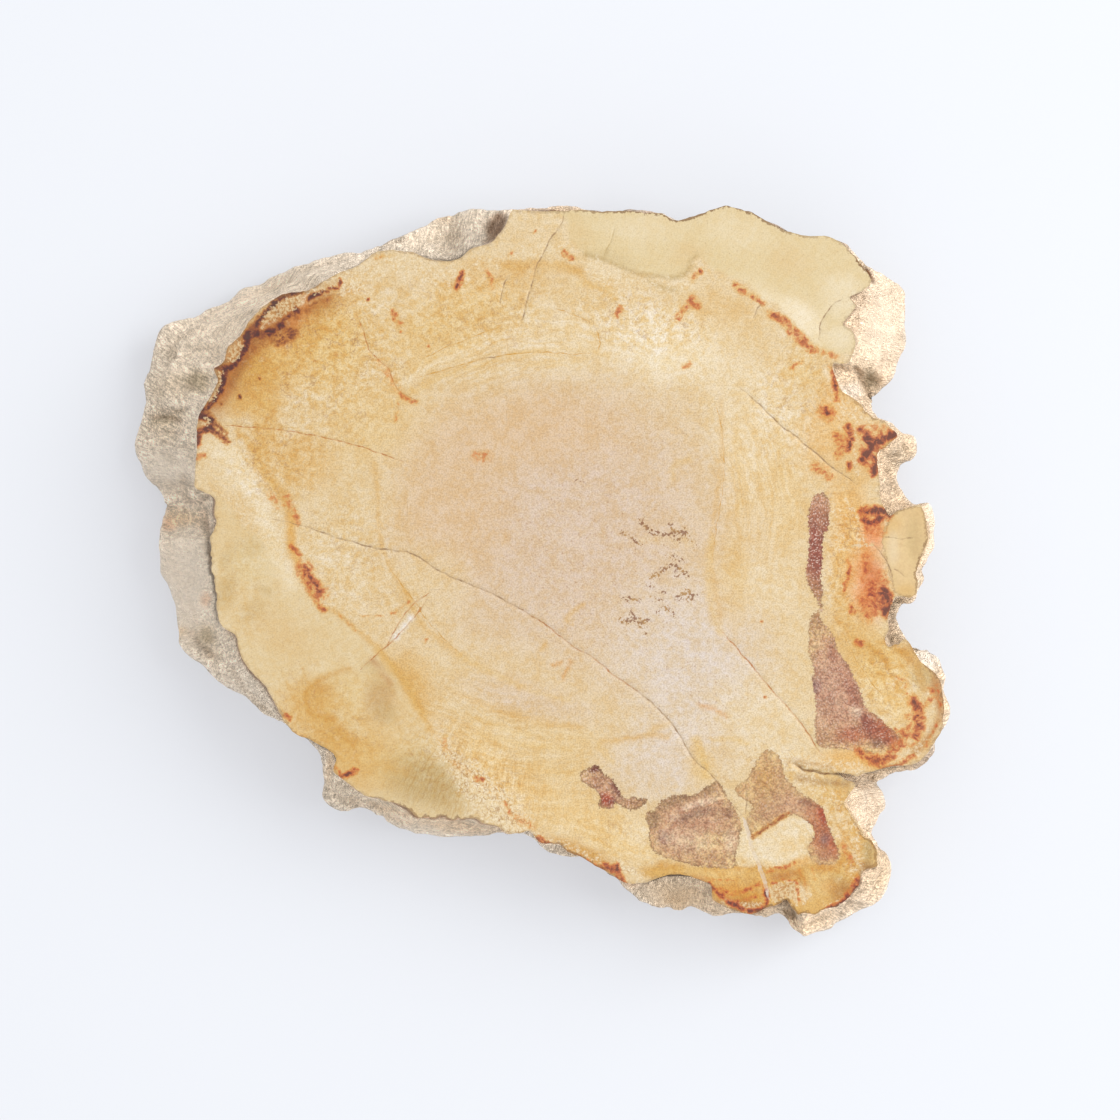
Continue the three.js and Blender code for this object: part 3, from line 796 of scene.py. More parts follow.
# %% Khaki zones, rings and streaks
khaki_depth = depth_in(KHAKI_CAP, shivered, 40)
in_cap = soft_step(khaki_depth, -1.5, 1.5)
wash.lay(in_cap, "khaki")
wash.lay(soft_step(khaki_depth, -30, -2) * (1 - soft_step(khaki_depth, -2, 0)), "pale", 0.25)
CAP_CLOUDS = [
    (640, 228, 60, 22, "light khaki", 0.5), (735, 232, 50, 26, "light khaki", 0.45, 20),
    (575, 235, 24, 26, "tan", 0.35), (600, 258, 50, 12, "olive", 0.25, 10), (690, 255, 26, 20, "tan", 0.35),
    (790, 262, 36, 26, "tan", 0.3, 20), (765, 300, 50, 22, "glow", 0.6, 30),
    (800, 318, 40, 24, "glow", 0.9, 40), (845, 295, 34, 30, "light khaki", 0.8),
    (838, 335, 26, 18, "light khaki", 0.8),
]
wash.lay_clouds(drifted, CAP_CLOUDS, in_cap)

shoulder_depth = depth_in(KHAKI_SHOULDER, shivered, 40)
in_shoulder = soft_step(shoulder_depth, -3, 3)
wash.lay(in_shoulder, "khaki", 0.45)
SHOULDER_CLOUDS = [
    (345, 745, 74, 54, "deep gold", 0.68, 25), (310, 702, 44, 38, "deep gold", 0.65, 20),
    (318, 694, 18, 26, "ochre", 0.25, 10), (340, 732, 40, 20, "ochre", 0.4, 25),
    (395, 760, 60, 40, "gold", 0.5, 20), (425, 785, 64, 34, "olive", 0.75, 30),
    (384, 696, 34, 26, "tan", 0.5, 40), (380, 690, 26, 22, "olive", 0.3),
    (225, 590, 16, 30, "olive", 0.4, 20), (250, 612, 26, 14, "olive", 0.3, -30),
    (250, 545, 26, 18, "olive", 0.2), (245, 505, 18, 24, "olive", 0.35, 20),
    (275, 630, 60, 30, "tan", 0.3, 30), (266, 592, 12, 7, "olive", 0.35, 20),
    (228, 556, 9, 16, "olive", 0.3, 10), (262, 556, 14, 8, "light khaki", 0.4, -20),
    (372, 668, 18, 12, "olive", 0.4, 20), (380, 702, 28, 24, "dark ochre", 0.22, 20),
    (384, 712, 22, 14, "olive", 0.4, 30), (300, 740, 22, 14, "amber", 0.4, 40),
    (352, 722, 30, 8, "khaki", 0.5, 30), (318, 664, 16, 8, "light khaki", 0.35, -20),
    (394, 766, 26, 10, "deep gold", 0.35, 25),
]
wash.lay_clouds(drifted, SHOULDER_CLOUDS, in_shoulder)

STREAKS = [
    ("deep gold", 6, 0.75, *SHOULDER_EDGE[:7]), ("deep gold", 4, 0.6, *SHOULDER_EDGE[6:]),
    ("deep gold", 6, 0.6, 256, 425, 258, 450, 266, 470, 280, 492),
    ("glow", 15, 0.55, 222, 452, 242, 470, 256, 496, 267, 524, 275, 548, 290, 584),
    ("deep gold", 5, 0.45, 300, 440, 292, 458, 288, 478, 284, 498),
    ("amber", 8, 0.7, 290, 520, 292, 545, 296, 560),
    ("deep gold", 4, 0.5, 375, 460, 378, 500, 380, 537, 390, 565, 404, 588, 415, 606),
    ("deep gold", 5, 0.6, 405, 590, 415, 612, 427, 630, 441, 640, 460, 655),
    ("gold", 5, 0.5, 460, 655, 490, 672, 530, 690, 570, 700),
    ("deep gold", 8, 0.7, 378, 650, 395, 672, 412, 695, 425, 715),
    ("burnt", 6, 0.4, 372, 660, 384, 676, 390, 684), ("bone", 5.5, 0.85, 411, 616, 402, 628, 394, 637),
    ("pale", 14, 0.25, 430, 740, 455, 768, 485, 792, 520, 822),
    ("dark ochre", 30, 0.6, 318, 300, 296, 312, 276, 324, 256, 334, 244, 348, 232, 364, 224, 380, 214, 398,
     204, 414),
    ("burnt", 15, 0.6, 292, 314, 266, 330, 250, 340, 240, 354, 230, 368, 224, 384, 214, 400),
    ("umber", 9, 0.6, 284, 326, 266, 334, 252, 340, 243, 350, 236, 362, 226, 372),
    ("orange", 12, 0.4, 306, 300, 300, 314, 292, 328, 284, 342),
    ("burnt", 11, 0.5, 252, 346, 244, 360, 236, 374, 228, 388, 220, 402),
    ("umber", 8, 0.35, 256, 346, 246, 360, 238, 374, 232, 384),
    ("dark ochre", 6, 0.55, 930, 655, 941, 672, 944, 695, 940, 715, 930, 735, 915, 752),
    ("tan", 4, 0.4, 836, 640, 850, 662, 862, 684, 876, 704, 892, 718, 906, 726),
    ("deep gold", 5, 0.5, 846, 630, 864, 652, 880, 678, 896, 700),
    ("deep gold", 5, 0.5, 866, 640, 884, 660, 898, 684, 906, 700),
    ("ochre", 6, 0.5, 884, 640, 904, 655, 918, 672, 926, 690),
    ("pale", 6, 0.6, 400, 385, 440, 362, 480, 347, 520, 332, 560, 326, 600, 332),
    ("gold", 4, 0.55, 395, 402, 440, 378, 490, 362, 540, 350, 590, 350, 610, 356),
    ("gold", 4, 0.5, 410, 372, 450, 350, 480, 340), ("gold", 4, 0.5, 530, 330, 570, 328, 610, 340),
    ("pale", 5, 0.35, 470, 375, 520, 366, 580, 364, 610, 372),
    ("deep gold", 4, 0.45, 720, 400, 722, 450, 716, 500, 712, 540, 714, 580, 720, 620),
    ("gold", 4, 0.4, 735, 420, 740, 470, 738, 510),
    ("gold", 7, 0.55, 712, 540, 709, 575, 712, 610, 720, 634),
    ("gold", 4, 0.3, 752, 400, 757, 450, 760, 500), ("gold", 5, 0.3, 775, 400, 780, 450, 782, 490),
    ("pale", 5, 0.35, 750, 440, 752, 500),
    ("ochre", 4, 0.5, 332, 720, 312, 714, 305, 698, 316, 682, 334, 672, 350, 667),
    ("khaki", 5, 0.5, 360, 676, 372, 668, 392, 680, 400, 700),
    ("deep gold", 9, 0.55, 505, 268, 530, 266, 560, 268, 580, 272),
    ("deep gold", 5, 0.6, 555, 262, 575, 270, 590, 288, 610, 290),
    ("deep gold", 8, 0.45, 470, 262, 500, 262, 520, 270), ("gold", 12, 0.3, 580, 773, 560, 772, 530, 765),
    ("deep gold", 5, 0.6, 600, 742, 630, 738, 655, 735, 668, 738),
    ("tan", 6, 0.7, 645, 735, 655, 728, 668, 725), ("gold", 4, 0.6, 598, 745, 606, 755, 614, 762),
    ("deep gold", 4, 0.6, 568, 618, 576, 610, 584, 603), ("deep gold", 4, 0.6, 568, 622, 572, 624),
    ("deep gold", 4, 0.7, 541, 650, 545, 645), ("deep amber", 3, 0.7, 549, 665, 556, 663, 562, 661),
    ("deep amber", 3, 0.6, 562, 677, 567, 669, 571, 660),
    ("deep amber", 4, 0.6, 700, 706, 712, 709, 726, 717), ("gold", 4, 0.7, 712, 740, 730, 740, 748, 743),
    ("gold", 8, 0.8, 695, 740, 704, 765, 706, 775), ("deep gold", 5, 0.4, 519, 688, 525, 686),
    ("gold", 6, 0.4, 672, 480, 676, 465, 690, 460), ("gold", 8, 0.3, 640, 540, 670, 540, 690, 545),
    ("deep gold", 3, 0.4, 504, 545, 506, 535), ("gold", 6, 0.5, 576, 284, 592, 286, 608, 290, 612, 300),
    ("deep gold", 6, 0.4, 458, 694, 484, 706, 512, 716, 545, 724, 580, 728),
    ("gold", 5, 0.5, 480, 735, 520, 744, 570, 750), ("gold", 4, 0.5, 470, 716, 500, 728, 530, 736),
    ("ochre", 6, 0.6, 868, 645, 876, 654, 888, 664),
    ("umber", 7, 0.4, 800, 777, 815, 781, 830, 783, 848, 785),
    ("wood brown", 5, 0.35, 788, 760, 806, 764, 830, 767),
    ("olive", 4, 0.75, 585, 254, 610, 264, 640, 274, 665, 277, 682, 276, 692, 266),
    ("olive", 4, 0.7, 650, 283, 662, 287, 676, 290), ("olive", 3, 0.5, 602, 262, 604, 254, 606, 250),
    ("olive", 4, 0.6, 690, 262, 697, 254),
]
wash.lay_strokes(shivered, STREAKS)
print(len(STREAKS), "rings and streaks")

# %% [markdown]
# The amber band at the lower right and the cream fields in it close the round of the
# wood's lower lobe. They come after the clouds because they lie over them.

# %% Amber band and cream fields of the lower lobe
AMBER_BAND = [
    (640, 872), (665, 862), (700, 866), (737, 866), (757, 862), (790, 866), (812, 862), (832, 866),
    (842, 852), (858, 870), (860, 900), (820, 925), (770, 915), (720, 905), (700, 884), (660, 880),
]
amber_depth = depth_in(AMBER_BAND, shivered, 30)
wash.lay(soft_step(amber_depth, -5, 5), "deep gold", 0.9)
wash.lay(soft_step(amber_depth, -3, 4) * (1 - soft_step(amber_depth, 4, 12)), "ochre", 0.3)
CREAM_FIELDS = [
    ([(752, 838), (775, 822), (795, 817), (807, 822), (814, 832), (806, 843), (805, 855), (780, 866),
      (765, 868), (757, 860)], 0.95),
    ([(734, 838), (742, 832), (752, 838), (758, 862), (748, 868), (733, 864)], 0.9),
]
for outline, strength in CREAM_FIELDS:
    wash.lay(soft_step(depth_in(outline, shivered, 12), -2, 2), "pale", strength)
LOBE_CLOUDS = [
    (790, 845, 24, 14, "yellow cream", 0.4, -15), (712, 876, 40, 12, "gold", 0.9, 8),
    (735, 892, 34, 12, "deep amber", 0.6, 8), (752, 898, 26, 12, "ochre", 0.5),
    (815, 884, 30, 22, "gold", 0.8, -10), (785, 875, 26, 7, "burnt", 0.6, -12),
    (803, 884, 7, 20, "ochre", 0.6), (826, 866, 16, 8, "deep amber", 0.6, 10),
    (838, 884, 16, 16, "olive", 0.6, -20), (843, 893, 20, 16, "dark ochre", 0.6, -30),
    (868, 850, 10, 20, "olive", 0.9), (866, 866, 10, 10, "umber", 0.5), (800, 892, 14, 14, "pale", 0.7),
    (745, 906, 44, 10, "dark ochre", 0.7, 12), (722, 872, 30, 10, "amber", 0.3),
    (700, 880, 16, 7, "burnt", 0.5, 20), (802, 860, 18, 6, "amber", 0.8, -14),
    (830, 886, 14, 10, "deep amber", 0.5, -20), (852, 800, 14, 14, "tan", 0.6),
    (872, 578, 13, 24, "brick", 0.24), (843, 845, 12, 24, "amber", 0.3, -20),
    (735, 873, 14, 6, "yellow cream", 0.5), (742, 862, 10, 7, "gold", 0.6),
]
wash.lay_clouds(shivered, LOBE_CLOUDS)
print("lower lobe: amber band and", len(CREAM_FIELDS), "cream fields")

# %% [markdown]
# Rust is where iron gathered, mostly along the rim. One number holds it, from 0 for
# none to 1 for the darkest core. The finish turns that number into amber, orange, red
# and purple-black in turn, and breaks it up with noise, so each stroke gets a natural
# halo. The strokes only say where the iron lies and how strong it is. A dot is u and v,
# a radius and a strength.

# %% Rust
RUST = [
    (5, 1, 216, 367, 223, 369, 230, 369, 237, 362, 243, 354, 246, 345),
    (7, 1, 246, 346, 247, 338, 251, 331, 256, 327),
    (5, 1, 225, 370, 225, 378, 223, 386, 217, 398, 209, 406, 203, 411, 200, 416),
    (5.5, 1, 203, 415, 210, 418, 213, 423, 209, 429, 201, 430, 198, 434, 197, 442),
    (5, 0.7, 207, 425, 214, 431, 221, 437, 227, 442), (4, 0.55, 212, 421, 219, 427, 226, 433),
    (5, 0.65, 197, 457, 204, 455),
    (5, 1, 262, 318, 268, 312, 273, 305, 277, 301, 284, 297, 290, 294, 300, 291),
    (6, 0.9, 250, 334, 256, 326, 262, 318), (3, 0.95, 276, 304, 277, 310, 279, 315),
    (6, 0.95, 256, 334, 264, 334, 271, 332, 277, 328, 282, 323),
    (3.6, 0.9, 309, 298, 316, 294, 325, 291, 334, 288, 340, 286, 340, 279),
    (4, 0.8, 293, 303, 297, 307, 296, 312), (10, 0.6, 280, 340, 286, 337, 292, 332),
    (8, 0.34, 248, 356, 256, 349, 264, 343, 276, 338), (8, 0.36, 290, 318, 302, 312, 314, 305, 328, 299),
    (3.6, 0.7, 283, 322, 290, 314, 298, 309), (8, 0.3, 380, 361, 386, 369, 391, 379, 398, 390),
    (4, 0.45, 400, 393, 408, 399, 417, 402), (3, 0.3, 399, 402, 398, 412, 396, 420),
    (4.6, 0.85, 463, 272, 460, 279, 456, 288), (4.5, 0.42, 487, 270, 490, 278, 491, 288),
    (3, 0.4, 507, 255, 512, 253), (4.5, 0.66, 563, 253, 567, 256, 571, 258), (5, 0.52, 620, 309, 616, 316),
    (11, 0.36, 476, 457, 486, 457), (6, 0.5, 678, 319, 682, 311, 689, 304, 694, 299),
    (6, 0.5, 690, 303, 697, 304, 699, 307), (5, 0.38, 694, 280, 698, 274, 702, 269),
    (6, 0.5, 736, 286, 744, 291), (5, 0.52, 751, 294, 757, 298, 763, 303),
    (7, 0.6, 770, 314, 777, 317, 784, 322, 790, 329, 797, 335, 803, 339),
    (6, 0.5, 788, 330, 793, 336, 797, 342), (7, 0.55, 799, 339, 805, 344, 811, 349),
    (6, 0.35, 811, 347, 822, 351, 836, 356), (4, 0.4, 790, 369, 795, 364, 801, 361),
    (6, 0.36, 683, 368, 688, 364), (4, 0.6, 830, 365, 834, 375, 835, 384),
    (5, 0.75, 834, 380, 836, 388, 837, 398), (14, 0.55, 826, 410, 828, 412), (6, 1, 827, 408, 828, 413),
    (6, 0.85, 848, 426, 851, 434, 851, 443, 849, 450), (8, 0.5, 836, 436, 845, 446, 838, 455),
    (26, 0.5, 875, 440, 875, 455), (7, 1, 897, 433, 890, 437, 880, 441, 872, 444),
    (7, 1, 866, 438, 872, 446, 868, 453, 864, 460), (6, 0.95, 873, 457, 875, 466, 874, 473),
    (7, 0.75, 861, 429, 868, 434), (5, 0.7, 850, 464, 850, 468), (9, 0.42, 815, 468, 824, 471, 830, 477),
    (7, 1, 863, 513, 872, 511, 881, 511, 888, 515), (6, 0.9, 864, 520, 872, 524, 880, 518),
    (10, 0.36, 866, 528, 874, 534, 882, 530), (9, 0.44, 866, 556, 867, 566, 866, 578),
    (13, 0.5, 874, 580, 872, 596, 868, 612), (8, 0.4, 880, 572, 886, 582, 888, 592),
    (9, 0.95, 884, 590, 888, 600, 885, 612), (9, 0.6, 872, 592, 878, 600, 876, 610),
    (7, 0.5, 862, 600, 866, 612, 868, 620), (3.6, 0.5, 849, 560, 851, 570, 848, 580, 846, 590),
    (5, 0.55, 852, 606, 852, 612), (6, 0.6, 857, 641, 861, 643),
    (8, 0.62, 858, 752, 870, 758, 884, 758, 896, 750, 904, 742), (6, 0.56, 870, 764, 882, 764, 894, 758),
    (4, 0.6, 880, 768, 892, 768, 904, 762, 914, 757), (3, 0.6, 893, 729, 903, 735, 912, 738),
    (5, 0.5, 902, 732, 908, 728, 912, 720), (9, 0.8, 914, 700, 918, 711, 919, 722, 916, 735),
    (5, 0.36, 917, 712, 911, 712, 906, 716), (4, 0.36, 908, 684, 906, 690, 910, 696),
    (4.5, 0.5, 924, 706, 928, 701, 933, 693, 930, 688), (3.5, 0.4, 937, 684, 939, 696, 940, 708),
    (3, 0.42, 938, 720, 933, 732, 926, 746), (3, 0.36, 898, 678, 904, 681, 908, 679),
    (3, 0.45, 904, 748, 912, 746, 918, 740), (3, 0.62, 752, 837, 766, 829, 776, 822, 787, 815),
    (3.4, 0.55, 766, 872, 776, 869, 786, 866, 794, 862), (8, 0.3, 842, 846, 847, 854, 850, 862),
    (3.6, 0.85, 710, 884, 718, 893, 728, 900), (4.2, 0.9, 728, 900, 740, 908, 752, 912, 764, 910),
    (3.4, 0.8, 762, 908, 768, 900, 764, 890), (3, 0.6, 720, 889, 734, 894, 748, 890, 760, 884),
    (3, 0.65, 732, 902, 746, 900, 758, 896), (2.6, 0.35, 706, 878, 722, 882, 740, 880),
    (5, 0.95, 826, 912, 838, 906, 848, 899, 856, 890, 861, 880), (4, 0.7, 846, 896, 852, 886, 857, 874),
    (2.4, 0.6, 797, 882, 798, 892, 799, 902), (2.2, 0.6, 772, 884, 784, 880, 796, 880),
    (4, 0.42, 838, 846, 846, 852, 851, 862), (3, 0.7, 764, 884, 769, 896),
    (3, 0.34, 800, 868, 804, 880, 806, 892), (3, 0.3, 812, 868, 814, 880),
    (6, 0.36, 268, 494, 272, 500, 277, 507), (7, 0.38, 285, 497, 290, 505, 294, 515, 297, 523),
    (5, 0.5, 291, 546, 296, 551, 299, 555), (13, 0.62, 303, 568, 308, 578, 314, 587, 320, 592),
    (7, 0.8, 305, 571, 311, 580, 318, 589), (5, 0.55, 317, 601, 321, 606, 325, 611),
    (3, 0.26, 335, 612, 350, 626, 368, 641), (2.2, 0.36, 358, 616, 372, 617, 388, 614, 400, 606, 410, 600),
    (3.6, 0.75, 283, 713, 287, 716, 291, 718), (4.5, 0.9, 340, 778, 348, 774, 355, 770),
    (4, 0.5, 333, 767, 338, 773), (5, 0.3, 443, 740, 444, 750), (6, 0.22, 452, 764, 459, 769, 468, 773),
    (4, 0.62, 476, 779, 483, 781), (4, 0.4, 504, 801, 508, 807, 511, 814),
    (7, 0.3, 515, 817, 525, 822, 535, 828), (6, 0.85, 538, 840, 547, 845),
    (6, 0.5, 549, 847, 566, 853, 583, 861, 600, 868), (7, 0.7, 603, 866, 611, 870, 618, 876, 622, 883),
    (4, 0.95, 616, 866, 619, 873, 621, 881), (4, 0.45, 375, 257, 382, 256),
    (4, 0.42, 391, 309, 395, 316, 399, 324),
]
RUST_DOTS = [
    (260, 379, 3.2, 0.75), (240, 397, 3.6, 0.75), (221, 404, 3.2, 0.8), (368, 300, 3, 1),
    (335, 354, 3, 0.7), (396, 315, 3.2, 0.7), (394, 320, 2.6, 0.6), (400, 324, 2.8, 0.6),
    (400, 331, 2.6, 0.6), (315, 361, 2.6, 0.4), (285, 435, 2.4, 0.45), (491, 288, 3, 0.65),
    (572, 310, 2.2, 0.5), (535, 232, 2.4, 0.6), (428, 346, 2.6, 0.5), (436, 322, 2.6, 0.5),
    (848, 573, 3, 0.7), (864, 530, 2.4, 0.8), (845, 585, 3, 0.6), (855, 612, 3.2, 0.6),
    (426, 640, 3.2, 0.5), (304, 669, 2.2, 0.45), (761, 622, 2.6, 0.6), (765, 698, 2.4, 0.6),
    (700, 272, 3, 0.95), (808, 699, 2.2, 0.5), (862, 462, 3, 0.8), (283, 505, 2.6, 0.5),
]
HALO = 1.2
rust = strokes(shivered, RUST, HALO)
for u, v, radius, strength in RUST_DOTS:
    rust = np.maximum(rust, strength * oval(face_places, (u, v), (radius, radius), soft=0.7))
rust_age = oval(face_places, (255, 350), (130, 120), soft=0.4)
rust_age = np.maximum(rust_age, 0.7 * oval(face_places, (775, 832), (46, 34), soft=0.5))
print(len(RUST), "rust strokes and", len(RUST_DOTS), "specks")

# %% [markdown]
# Some patches look like bark or clotted resin: purple, brown or tan, full of pale
# grains, and cut off by sharp edges. Each row says how full of grains the patch is, how
# dark its edge line is, and its outline. The mesh stores the distance to the outline,
# which stays straight across a triangle, so the finish can draw the edge much sharper
# than the net itself is.

# %% Sharp-edged patches
PATCHES = {
    "upper purple": (1.0, 0.35, [(812, 500), (815, 495), (821, 493), (826, 496), (831, 506), (829, 515),
     (828, 528), (824, 535), (822, 545), (823, 555), (821, 575), (823, 593), (821, 600), (824, 612),
     (820, 611), (816, 597), (811, 590), (806, 577), (808, 555), (809, 535), (808, 515)]),
    "lower purple": (0.6, 0.3, [(812, 616), (818, 611), (822, 620), (834, 636), (837, 648), (847, 664),
     (853, 675), (859, 688), (863, 700), (868, 709), (877, 716), (890, 728), (903, 738), (899, 745),
     (890, 750), (870, 753), (850, 750), (830, 748), (820, 745), (815, 735), (816, 705), (812, 680),
     (814, 670), (809, 650), (809, 630)]),
    "small brown": (0.7, 0.7, [(580, 774), (588, 768), (597, 765), (604, 774), (614, 781), (618, 788),
     (624, 799), (634, 797), (640, 800), (645, 797), (645, 803), (640, 808), (632, 810), (622, 806),
     (616, 802), (613, 808), (605, 808), (598, 806), (601, 800), (596, 790), (583, 782)]),
    "large brown": (0.42, 0.6, [(646, 818), (648, 812), (655, 811), (659, 803), (670, 797), (684, 795),
     (693, 796), (702, 790), (712, 784), (718, 782), (727, 797), (737, 813), (741, 825), (738, 845),
     (735, 855), (732, 868), (700, 866), (672, 859), (655, 852), (649, 840), (650, 828)]),
    "wedge brown": (0.36, 0.4, [(735, 792), (740, 784), (748, 778), (754, 766), (760, 757), (766, 750),
     (778, 755), (785, 776), (797, 790), (812, 800), (822, 808), (827, 822), (833, 838), (839, 852),
     (836, 862), (827, 865), (815, 862), (808, 853), (808, 845), (814, 838), (813, 828), (803, 818),
     (790, 815), (776, 822), (765, 829), (753, 836), (747, 822), (752, 806), (745, 800)]),
    "tan block": (0.05, 0.36, [(890, 519), (896, 512), (908, 508), (921, 507), (925, 520), (926, 540),
     (920, 560), (917, 580), (916, 596), (905, 597), (894, 591), (890, 575), (884, 550), (883, 536)]),
    "grey-tan lens": (0.0, 0.0, [(850, 545), (862, 544), (874, 543), (873, 545), (860, 547), (850, 548)]),
}
PATCH_CLOUDS = [
    (818, 545, 30, 90, "plum", 1), (822, 520, 6, 30, "wood brown", 0.5, 10),
    (817, 596, 14, 22, "wood brown", 0.5), (820, 503, 14, 16, "purple tan", 0.55),
    (818, 548, 12, 34, "dark plum", 0.15), (818, 522, 9, 16, "purple tan", 0.3),
    (840, 690, 60, 90, "purple tan", 1), (820, 690, 14, 70, "plum beige", 0.5),
    (817, 622, 12, 16, "wood brown", 0.5), (832, 652, 9, 20, "plum", 0.55, -20),
    (817, 687, 8, 12, "mauve", 0.8), (826, 708, 9, 10, "wood brown", 0.4),
    (852, 692, 8, 40, "plum", 0.5, -22), (836, 690, 14, 44, "plum beige", 0.5, -8),
    (832, 738, 26, 12, "wood brown", 0.45), (852, 736, 24, 14, "brick", 0.6),
    (880, 732, 28, 22, "brick", 0.8, 30), (866, 722, 11, 20, "plum", 0.9, -30),
    (868, 732, 18, 8, "dark plum", 0.3, 35), (879, 743, 15, 7, "dirty mauve", 0.7, 5),
    (856, 712, 8, 9, "shell", 0.6), (893, 742, 14, 9, "brick", 0.6), (608, 790, 50, 40, "rosy tan", 1),
    (600, 782, 14, 12, "wood brown", 0.4), (606, 801, 13, 10, "brick", 0.9),
    (612, 803, 7, 6, "dark plum", 0.6), (597, 768, 14, 7, "dark plum", 1, -20),
    (617, 789, 8, 14, "dark plum", 0.8, -30), (634, 803, 14, 8, "wood brown", 0.6),
    (642, 801, 6, 6, "dark plum", 0.3), (692, 825, 70, 70, "rosy tan", 1),
    (676, 800, 40, 10, "seam brown", 0.7, -18), (708, 790, 14, 9, "seam brown", 0.6, -30),
    (653, 820, 9, 16, "bark", 0.6), (662, 838, 10, 12, "mauve", 0.6),
    (696, 815, 36, 7, "dirty mauve", 0.5, -16), (684, 820, 12, 5, "dark plum", 0.35, -10),
    (728, 813, 13, 9, "dark plum", 0.5, -20), (700, 804, 34, 5, "shell", 0.6, -18),
    (672, 818, 10, 5, "shell", 0.4), (700, 860, 50, 12, "wood tan", 0.7),
    (708, 842, 34, 15, "tan", 0.85, -6), (732, 842, 12, 20, "shell", 0.5), (670, 836, 14, 12, "shell", 0.3),
    (694, 842, 30, 16, "shell", 0.35), (690, 850, 14, 8, "wood brown", 0.35),
    (775, 790, 50, 50, "wood tan", 1), (796, 806, 30, 16, "rosy tan", 0.9, 20),
    (775, 812, 30, 14, "rosy tan", 0.6, -20), (765, 778, 16, 24, "ochre", 0.3),
    (819, 832, 20, 44, "brick", 0.7, -15), (823, 816, 9, 22, "brick", 0.9, -25),
    (832, 846, 8, 24, "brick", 0.7, -10), (824, 840, 7, 9, "mauve", 0.8), (824, 856, 10, 9, "plum", 0.5),
    (806, 803, 14, 6, "dark plum", 0.5, 25), (768, 800, 20, 16, "wood brown", 0.15),
    (758, 818, 14, 12, "wood brown", 0.35), (905, 552, 40, 70, "block tan", 1),
    (894, 524, 14, 12, "deep gold", 0.3), (915, 540, 12, 40, "olive", 0.45),
    (906, 590, 14, 10, "deep gold", 0.4), (893, 548, 9, 26, "pale", 0.55), (862, 545, 12, 3, "bone", 0.5),
]
PATCH_REACH = 12
patch_places = face_places + 0.9 * shiver
patch_depth = np.full(len(face_places), -float(PATCH_REACH))
patch_dots = np.zeros(len(face_places))
patch_outline = np.zeros(len(face_places))
for dots, edge_line, outline in PATCHES.values():
    depth = depth_in(outline, patch_places, PATCH_REACH)
    patch_dots = np.where(depth > patch_depth, dots, patch_dots)
    patch_outline = np.where(depth > patch_depth, edge_line, patch_outline)
    patch_depth = np.maximum(patch_depth, depth)
patch_wash = Coat(len(face_places), "tan")
patch_wash.lay_clouds(shivered, PATCH_CLOUDS)
RIM_STRIPS = [
    [(207, 402), (211, 392), (213, 383), (215, 375), (217, 370), (221, 371), (222, 379), (220, 387),
     (216, 395), (211, 403)],
    [(228, 362), (229, 354), (233, 347), (238, 342), (242, 341), (242, 348), (240, 355), (236, 361)],
    [(262, 322), (266, 313), (276, 304), (286, 299), (297, 296), (304, 296), (302, 303), (294, 309),
     (286, 314), (276, 319)],
    [(313, 295), (321, 287), (331, 280), (338, 278), (338, 283), (330, 287), (321, 292)],
    [(203, 424), (203, 419), (207, 417), (211, 419), (210, 424), (206, 427)],
    [(772, 886), (784, 882), (795, 882), (796, 892), (796, 902), (788, 897), (780, 902), (773, 900)],
]
STRIP_REACH = 8
strip_depth = np.full(len(face_places), -float(STRIP_REACH))
for outline in RIM_STRIPS:
    strip_depth = np.maximum(strip_depth, depth_in(outline, patch_places, STRIP_REACH))
print(len(PATCHES), "patches,", len(RIM_STRIPS), "crumbly strips on the rim")

# %% [markdown]
# In some strips the stone is sugary: pale crumbs with thin gold gaps between. Small
# brown tree-like marks in the heart are dendrites, grown from manganese. Both are too
# fine for the net, so the mesh only says how much of each there is, and the finish
# draws the crumbs and the dots.

# %% Crumbs, dendrites, pores and rings
CRUMBS = [
    (4, 0.7, 240, 345, 248, 338, 258, 330, 268, 322, 276, 314),
    (5, 0.8, 285, 305, 293, 300, 303, 297, 315, 291, 335, 283),
    (18, 0.62, 340, 272, 356, 270, 375, 266, 395, 262, 415, 268, 440, 276, 462, 274),
    (12, 0.5, 480, 262, 500, 258, 530, 252, 560, 250), (16, 0.6, 590, 268, 600, 280, 612, 282),
    (12, 0.5, 620, 290, 640, 285, 660, 282, 690, 285), (16, 0.55, 210, 450, 228, 448, 240, 458, 250, 472),
    (18, 0.5, 236, 500, 250, 512, 262, 522, 276, 545), (12, 0.55, 262, 505, 272, 520, 280, 540),
    (14, 1, 440, 752, 455, 768, 470, 780, 490, 792), (24, 1.5, 470, 780, 486, 794, 502, 808, 518, 826),
    (9, 0.9, 525, 832, 540, 838, 556, 845), (9, 0.7, 560, 845, 575, 850, 590, 858, 602, 862),
    (9, 0.9, 622, 868, 632, 872, 640, 880), (8, 0.4, 830, 372, 838, 400, 842, 420),
    (10, 0.7, 845, 402, 856, 410, 866, 420, 872, 428), (4, 1, 855, 426, 857, 445, 858, 468),
    (12, 0.42, 830, 500, 838, 520, 842, 545), (8, 0.45, 850, 500, 856, 520, 858, 540),
    (12, 0.6, 768, 755, 790, 758, 815, 765, 840, 768, 860, 770),
    (13, 0.5, 800, 780, 822, 792, 838, 808, 850, 825, 856, 850, 850, 868),
    (13, 0.8, 775, 892, 790, 888, 800, 896), (8, 0.8, 725, 902, 745, 906, 765, 908),
    (7, 0.5, 855, 880, 845, 900, 825, 912), (12, 0.3, 895, 680, 915, 690, 930, 705),
    (8, 0.6, 925, 740, 915, 752, 900, 762), (6, 0.5, 864, 262, 872, 275), (11, 0.85, 346, 286, 366, 286),
]
